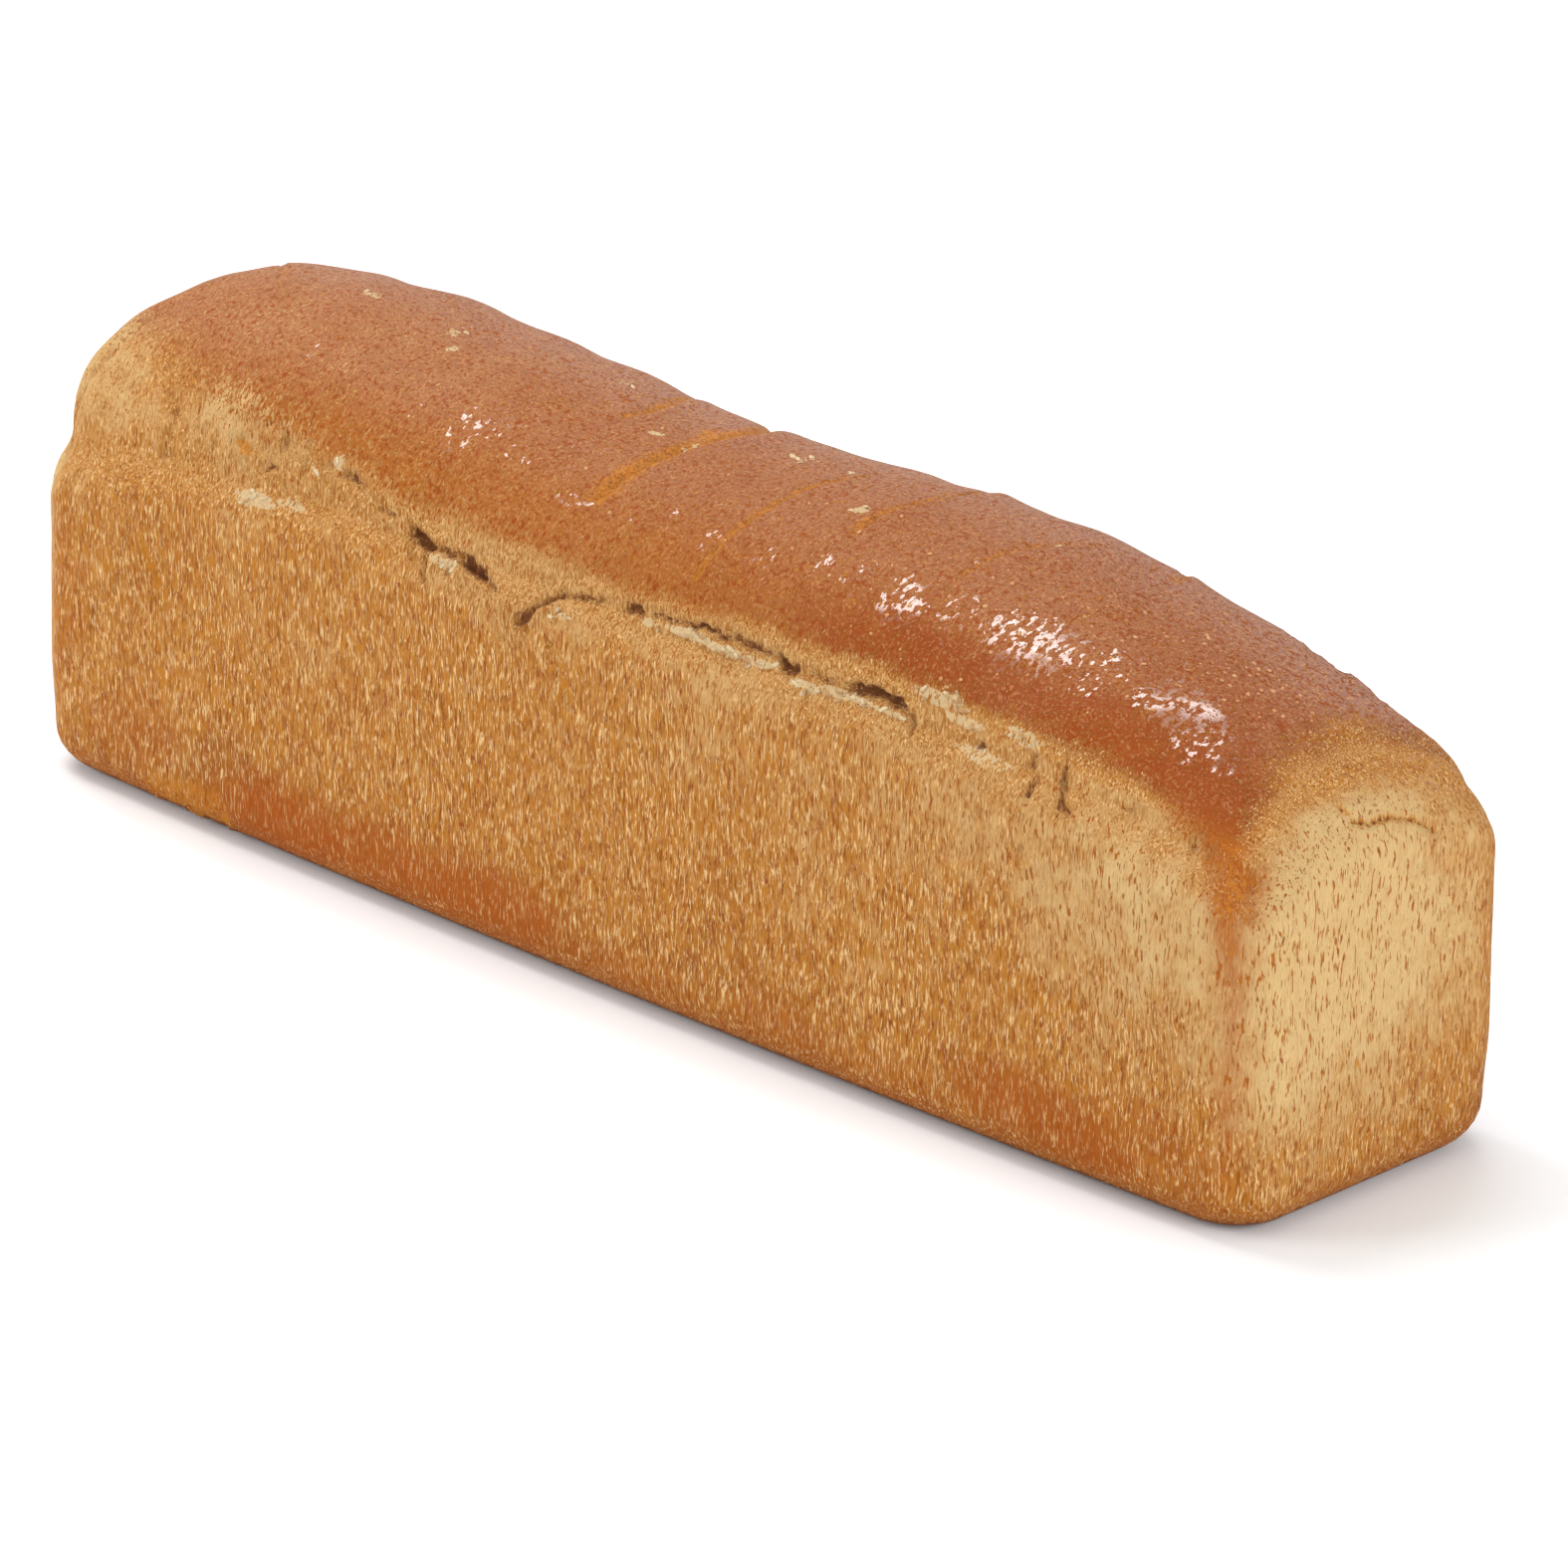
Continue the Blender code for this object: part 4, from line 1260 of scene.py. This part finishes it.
@dataclass
class CrustSkin:
    """The loaf's whole skin, as one closed mesh."""

    sizes: LoafSizes
    survey: CrustSurvey
    fine_rows: int = 16
    fine_turn: float = 0.36
    plain_rows: int = 26
    cells_along: int = 356
    shoulder_rows: int = 18
    wall_rows: int = 20
    foot_rows: int = 8
    soft_passes: int = 90
    lump_height: float = 0.00020
    lump_size: float = 0.006
    torn_height: float = 0.0009
    torn_size: float = 0.0018

    def dome_turns(self) -> np.ndarray:
        """Places the dome's rows as angles, close together just above the rim."""
        fine = np.linspace(0, self.fine_turn, self.fine_rows + 1)
        return np.concatenate([fine, np.linspace(self.fine_turn, math.pi / 2, self.plain_rows + 1)[1:]])

    def grid_lines(self, half: float, middle_cells: int) -> np.ndarray:
        """Places the grid lines of one direction.

        Args:
            half: Half size of the dome in this direction.
            middle_cells: Number of even cells between the two ends.

        Returns:
            Places of the lines, from -half to half.
        """
        head = -half + self.sizes.half_width * (1 - np.cos(self.dome_turns()))
        if middle_cells == 0:
            return np.concatenate([head, -head[:-1][::-1]])
        middle = np.linspace(head[-1], -head[-1], middle_cells + 1)
        return np.concatenate([head[:-1], middle, -head[:-1][::-1]])

    def build(self) -> bpy.types.Object:
        """Builds the skin and cuts its relief.

        Returns:
            The skin's object.
        """
        lines_x = self.grid_lines(self.sizes.half_length, self.cells_along)
        lines_y = self.grid_lines(self.sizes.half_width, 0)
        skin, column, line, row = self.weave(len(lines_x) - 1, len(lines_y) - 1)
        at = self.survey_places(lines_x, lines_y, column, line, row)
        self.place(skin, at.points)
        bmesh.ops.recalc_face_normals(skin, faces=skin.faces)
        softness = self.survey.softness(at) * self.soft_passes
        order = list(skin.verts)
        for done in range(self.soft_passes):
            chosen = [order[k] for k in np.nonzero(softness > done)[0]]
            bmesh.ops.smooth_vert(skin, verts=chosen, factor=0.5, use_axis_x=True, use_axis_y=True, use_axis_z=True)
        skin.normal_update()
        normals = np.array([vert.normal for vert in skin.verts])
        smooth = np.array([vert.co for vert in skin.verts])
        relief, masks = self.survey.study(at)
        self.place(skin, smooth + normals * relief[:, None])
        mesh = bpy.data.meshes.new("crust_skin")
        skin.to_mesh(mesh)
        skin.free()
        for mask, values in masks.items():
            mesh.attributes.new(mask.value, "FLOAT", "POINT").data.foreach_set("value", values)
        mesh.shade_smooth()
        return put_in_scene("crust_skin", mesh)

    def weave(self, cells_x: int, cells_y: int) -> tuple[bmesh.types.BMesh, np.ndarray, np.ndarray, np.ndarray]:
        """Makes the flat grid and the rows of wall that hang from its border.

        Args:
            cells_x: Cells along the loaf.
            cells_y: Cells across the loaf.

        Returns:
            The mesh, and the column, line and row of each point.
        """
        skin = bmesh.new()
        bmesh.ops.create_grid(skin, x_segments=cells_x, y_segments=cells_y, size=1.0)
        border = [edge for edge in skin.edges if edge.is_boundary]
        for row in range(1, self.shoulder_rows + self.wall_rows + self.foot_rows + 1):
            grown = bmesh.ops.extrude_edge_only(skin, edges=border)["geom"]
            for vert in grown:
                if isinstance(vert, bmesh.types.BMVert):
                    vert.co.z = -row
            border = [edge for edge in grown if isinstance(edge, bmesh.types.BMEdge) and edge.is_boundary]
        bmesh.ops.contextual_create(skin, geom=border)
        flat = np.array([vert.co for vert in skin.verts])
        column = np.rint((flat[:, 0] + 1) / 2 * cells_x).astype(int)
        line = np.rint((flat[:, 1] + 1) / 2 * cells_y).astype(int)
        return skin, column, line, np.rint(-flat[:, 2]).astype(int)

    def survey_places(
        self, lines_x: np.ndarray, lines_y: np.ndarray, column: np.ndarray, line: np.ndarray, row: np.ndarray
    ) -> SkinPlaces:
        """Shapes the smooth loaf and measures the ways over it.

        Args:
            lines_x: Grid lines along the loaf.
            lines_y: Grid lines across the loaf.
            column: Column of each point.
            line: Line of each point.
            row: Row of each point, 0 on the dome.

        Returns:
            The places of all points.
        """
        u = lines_x[column] / self.sizes.half_length
        v = lines_y[line] / self.sizes.half_width
        turn = np.clip(row / self.shoulder_rows, 0, 1)
        fall = np.clip((row - self.shoulder_rows) / self.wall_rows, 0, 1)
        tuck = np.clip((row - self.shoulder_rows - self.wall_rows) / self.foot_rows, 0, 1)
        grid_x, grid_y = np.meshgrid(lines_x, lines_y, indexing="ij")
        dome = self.sizes.dome(grid_x, grid_y)
        on_wall = self.sizes.wall(u, v, turn, fall, tuck)
        points = np.where(row[:, None] > 0, on_wall, dome[column, line])
        down = self.sizes.way_down(u, v, turn, fall, tuck)
        over = np.linalg.norm(np.diff(dome, axis=1), axis=2).cumsum(axis=1)
        over = np.concatenate([np.zeros((len(lines_x), 1)), over], axis=1)
        along = np.linalg.norm(np.diff(dome, axis=0), axis=2).cumsum(axis=0)
        along = np.concatenate([np.zeros((1, len(lines_y))), along], axis=0)
        side = np.minimum(over, over[:, -1:] - over)[column, line]
        end = np.minimum(along, along[-1:, :] - along)[column, line]
        return SkinPlaces(
            points=points,
            side_up=np.where(row > 0, -down, side),
            end_up=np.where(row > 0, -down, end),
            over=np.where(row > 0, -down, over[column, line]),
            on_dome=row == 0,
        )

    def place(self, skin: bmesh.types.BMesh, points: np.ndarray) -> None:
        """Moves the skin's points."""
        for vert, point in zip(skin.verts, points):
            vert.co = point

    def dress(self, piece: bpy.types.Object, material: bpy.types.Material) -> None:
        """Roughens the skin and gives it its finish.

        Args:
            piece: The skin.
            material: Its finish.
        """
        values = {
            "Lump Height": self.lump_height,
            "Lump Size": self.lump_size,
            "Torn Height": self.torn_height,
            "Torn Size": self.torn_size,
        }
        tree, sizes, sketch = start_geometry("crust_relief", values)
        entry = sketch.add("NodeGroupInput")
        place = sketch.add("GeometryNodeInputPosition")
        normal = sketch.add("GeometryNodeInputNormal")
        torn = sketch.add("GeometryNodeInputNamedAttribute", {"Name": Mask.TORN.value}, data_type="FLOAT")
        high = sketch.add("ShaderNodeSeparateXYZ", {0: place}).outputs["Z"]
        lumps = self.layer(sketch, place, entry.outputs["Lump Size"], entry.outputs["Lump Height"], 3.0)
        shreds = self.layer(sketch, place, entry.outputs["Torn Size"], entry.outputs["Torn Height"], 11.0)
        shreds = sketch.math("MULTIPLY", shreds, torn.outputs["Attribute"])
        total = sketch.math("MULTIPLY", sketch.math("ADD", lumps, shreds), sketch.limits(high, 0.0005, 0.006))
        offset = sketch.add("ShaderNodeVectorMath", {0: normal, "Scale": total}, operation="SCALE")
        moved = sketch.add("GeometryNodeSetPosition", {"Geometry": entry.outputs["Geometry"], "Offset": offset})
        close_geometry(sketch, moved, material)
        settle(piece, tree, sizes)

    def layer(
        self, sketch: NodeSketch, place: bpy.types.Node, size: object, height: object, seed: float
    ) -> bpy.types.NodeSocket:
        """Adds one layer of random relief.

        Args:
            sketch: The tree's sketch.
            place: Node that gives the position.
            size: Feature size.
            height: Height of the relief.
            seed: Shift of the pattern.

        Returns:
            The relief outward from the skin.
        """
        values = {"Vector": place, "W": seed, "Scale": sketch.math("DIVIDE", 1.0, size), "Detail": 2.0}
        texture = sketch.add("ShaderNodeTexNoise", noise_dimensions="4D")
        for name, value in values.items():
            sketch.feed(texture.inputs[name], value)
        return sketch.math("MULTIPLY", sketch.math("SUBTRACT", texture.outputs[0], 0.5), height)


@dataclass(frozen=True)
class StrewnBits:
    """Small bits strewn where one mask of the skin is strong.

    Attributes:
        name: Name of the piece.
        mask: The mask.
        density: Bits for each square metre where the mask is full.
        length: Least and greatest length.
        width: Width as a share of the length.
        flatness: Height as a share of the length.
        ragged: How far the surface of a bit is pushed about.
        seed: Seed of the strewing.
    """

    name: str
    mask: Mask
    density: float
    length: tuple[float, float]
    width: float
    flatness: float
    ragged: float
    seed: int

    def build(self, skin: bpy.types.Object, material: bpy.types.Material) -> bpy.types.Object:
        """Strews the bits over the skin.

        Args:
            skin: The finished skin.
            material: Finish of the bits.

        Returns:
            The bits as one piece.
        """
        values = {
            "Density": self.density,
            "Least Length": self.length[0],
            "Greatest Length": self.length[1],
            "Width": self.width,
            "Flatness": self.flatness,
            "Ragged": self.ragged,
        }
        tree, sizes, sketch = start_geometry(self.name, values)
        entry = sketch.add("NodeGroupInput")
        mask = sketch.add("GeometryNodeInputNamedAttribute", {"Name": self.mask.value}, data_type="FLOAT")
        density = sketch.math("MULTIPLY", mask.outputs["Attribute"], entry.outputs["Density"])
        values = {"Mesh": entry.outputs["Geometry"], "Density": density, "Seed": self.seed}
        spread = sketch.add("GeometryNodeDistributePointsOnFaces", values)
        size = sketch.add("FunctionNodeRandomValue", data_type="FLOAT")
        for socket in size.inputs:
            if socket.type == "VALUE" and socket.name in ("Min", "Max"):
                sketch.feed(socket, entry.outputs["Least Length" if socket.name == "Min" else "Greatest Length"])
        length = next(socket for socket in size.outputs if socket.type == "VALUE")
        wide = sketch.math("MULTIPLY", length, entry.outputs["Width"])
        thin = sketch.math("MULTIPLY", length, entry.outputs["Flatness"])
        shape = sketch.add("ShaderNodeCombineXYZ", {0: length, 1: wide, 2: thin})
        ball = sketch.add("GeometryNodeMeshUVSphere", {"Segments": 7, "Rings": 5, "Radius": 0.5})
        values = {"Points": spread.outputs["Points"], "Instance": ball, "Scale": shape}
        strewn = sketch.add("GeometryNodeInstanceOnPoints", {**values, "Rotation": self.turns(sketch, spread)})
        real = sketch.add("GeometryNodeRealizeInstances", {"Geometry": strewn})
        place = sketch.add("GeometryNodeInputPosition")
        pushed = sketch.add("ShaderNodeTexNoise", {"Vector": place, "Scale": 1300.0, "Detail": 1.0})
        values = {0: pushed.outputs["Color"], 1: (0.5, 0.5, 0.5)}
        centred = sketch.add("ShaderNodeVectorMath", values, operation="SUBTRACT")
        shift = sketch.add("ShaderNodeVectorMath", {0: centred, "Scale": entry.outputs["Ragged"]}, operation="SCALE")
        moved = sketch.add("GeometryNodeSetPosition", {"Geometry": real, "Offset": shift})
        smooth = sketch.add("GeometryNodeSetShadeSmooth", {"Geometry": moved})
        close_geometry(sketch, smooth, material)
        piece = put_in_scene(self.name, skin.data.copy())
        settle(piece, tree, sizes)
        return piece

    def turns(self, sketch: NodeSketch, spread: bpy.types.Node) -> bpy.types.Node:
        """Lays each bit flat on the skin, roughly in line with the loaf.

        Args:
            sketch: The tree's sketch.
            spread: Node that strews the points.

        Returns:
            Node that gives the rotations.
        """
        flat = sketch.add("FunctionNodeAlignRotationToVector", {"Vector": spread.outputs["Normal"]}, axis="Z")
        values = {"Rotation": flat, "Vector": (1.0, 0.0, 0.0)}
        lined = sketch.add("FunctionNodeAlignRotationToVector", values, axis="X", pivot_axis="Z")
        spin = sketch.add("FunctionNodeRandomValue", {"Seed": self.seed + 1}, data_type="FLOAT_VECTOR")
        spin.inputs["Min"].default_value = (-0.35, -0.35, -1.1)
        spin.inputs["Max"].default_value = (0.35, 0.35, 1.1)
        turn = next(socket for socket in spin.outputs if socket.type == "VECTOR")
        return sketch.add("FunctionNodeRotateRotation", {0: lined, 1: turn}, rotation_space="LOCAL")


@dataclass(frozen=True)
class SoftLight:
    """One soft light: its name, place, the point it faces, its two sides and its power in watts."""

    name: str
    place: Place
    target: Place
    sides: tuple[float, float]
    power: float

    def build(self) -> None:
        """Hangs the light."""
        lamp = bpy.data.lights.new(self.name, "AREA")
        lamp.shape = "RECTANGLE"
        lamp.size, lamp.size_y = self.sides
        lamp.energy = self.power
        holder = put_in_scene(self.name, lamp)
        holder.location = self.place
        holder.rotation_euler = (Vector(self.target) - Vector(self.place)).to_track_quat("-Z", "Y").to_euler()


@dataclass(frozen=True)
class Studio:
    """Floor, lights and camera."""

    azimuth: float = 44.405
    elevation: float = 21.528
    distance: float = 1.8614
    target: Place = (0.0017, 0.0155, 0.0357)
    roll: float = 0.879
    focal_pixels: float = 8000.0
    image_pixels: float = 1575.0
    clip_near: float = 0.05
    clip_far: float = 50.0
    floor_half: float = 8.0
    floor_colour: Colour = (0.90, 0.915, 0.93)
    floor_roughness: float = 0.9
    surround: float = 0.66
    lights: tuple[SoftLight, ...] = (
        SoftLight("window_box", (-0.68, -0.10, 1.15), (0.02, -0.10, 0.10), (0.50, 0.85), 8.0),
        SoftLight("roof_window", (-0.20, 0.36, 1.15), (-0.20, 0.36, 0.0), (0.36, 0.66), 4.5),
        SoftLight("front_fill", (-1.05, -1.35, 0.75), (0.0, 0.0, 0.05), (0.90, 0.90), 14.0),
        SoftLight("end_fill", (1.40, -0.20, 0.60), (0.2, 0.0, 0.05), (0.80, 0.80), 11.5),
    )

    def build(self) -> None:
        """Builds the floor, lights and camera."""
        self.build_floor()
        self.build_world()
        for light in self.lights:
            light.build()
        self.build_camera()

    def build_floor(self) -> None:
        """Lays the pale floor."""
        floor = bmesh.new()
        bmesh.ops.create_grid(floor, x_segments=2, y_segments=2, size=self.floor_half)
        mesh = bpy.data.meshes.new("floor")
        floor.to_mesh(mesh)
        floor.free()
        material, _, shader = start_material("pale_floor")
        shader.inputs["Base Color"].default_value = (*self.floor_colour, 1.0)
        shader.inputs["Roughness"].default_value = self.floor_roughness
        mesh.materials.append(material)
        piece = put_in_scene("floor", mesh)

    def build_world(self) -> None:
        """Sets the even white surround."""
        world = bpy.data.worlds.new("studio")
        world.use_nodes = True
        back = world.node_tree.nodes["Background"]
        back.inputs["Color"].default_value = (1.0, 1.0, 1.0, 1.0)
        back.inputs["Strength"].default_value = self.surround
        bpy.context.scene.world = world
        bpy.context.scene.view_settings.view_transform = "Standard"

    def build_camera(self) -> None:
        """Sets the camera at the picture's view."""
        azimuth = math.radians(self.azimuth)
        elevation = math.radians(self.elevation)
        roll = math.radians(self.roll)
        level = math.cos(elevation)
        back = Vector((math.sin(azimuth) * level, -math.cos(azimuth) * level, math.sin(elevation)))
        right = Vector((0, 0, 1)).cross(back).normalized()
        up = back.cross(right)
        turned_right = math.cos(roll) * right + math.sin(roll) * up
        turned_up = -math.sin(roll) * right + math.cos(roll) * up
        lens = bpy.data.cameras.new("camera")
        lens.lens = lens.sensor_width * self.focal_pixels / self.image_pixels
        lens.clip_start = self.clip_near
        lens.clip_end = self.clip_far
        camera = put_in_scene("camera", lens)
        turn = Matrix((turned_right, turned_up, back)).transposed()
        camera.matrix_world = Matrix.Translation(Vector(self.target) + back * self.distance) @ turn.to_4x4()
        bpy.context.scene.camera = camera


def keep(piece: bpy.types.Object) -> None:
    """Makes a piece part of the loaf and reports it.

    Args:
        piece: The piece.
    """
    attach(piece, "root")
    LOG.info("%s: %d faces", piece.name, len(piece.data.polygons))


def main() -> None:
    """Builds the loaf and the studio."""
    logging.basicConfig(level=logging.INFO, format="%(message)s")
    grain = CrustGroups.oven_grain()
    pores = CrustGroups.crumb_pores()
    crust = BakedCrust().material(grain, pores)
    crumb = DryCrumb(name="torn_crumb", pale=(0.60, 0.47, 0.28), toasted=(0.40, 0.22, 0.08))
    crumb = crumb.material(grain, pores)
    husk = DryCrumb(name="blister_husk", pale=(0.52, 0.27, 0.12), toasted=(0.40, 0.15, 0.04))
    husk = husk.material(grain, pores)

    skin = CrustSkin(LoafSizes(), CrustSurvey())
    piece = skin.build()
    skin.dress(piece, crust)
    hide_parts("loaf")
    keep(piece)

    flakes = StrewnBits(
        name="torn_flakes", mask=Mask.FLAKE, density=260000.0, length=(0.0012, 0.0036),
        width=0.42, flatness=0.22, ragged=0.0009, seed=5,
    )
    keep(flakes.build(piece, crumb))
    blisters = StrewnBits(
        name="crust_blisters", mask=Mask.BLISTER, density=55000.0, length=(0.0006, 0.0014),
        width=0.8, flatness=0.40, ragged=0.0004, seed=8,
    )
    keep(blisters.build(piece, husk))

    Studio().build()


if __name__ == "__main__":
    main()
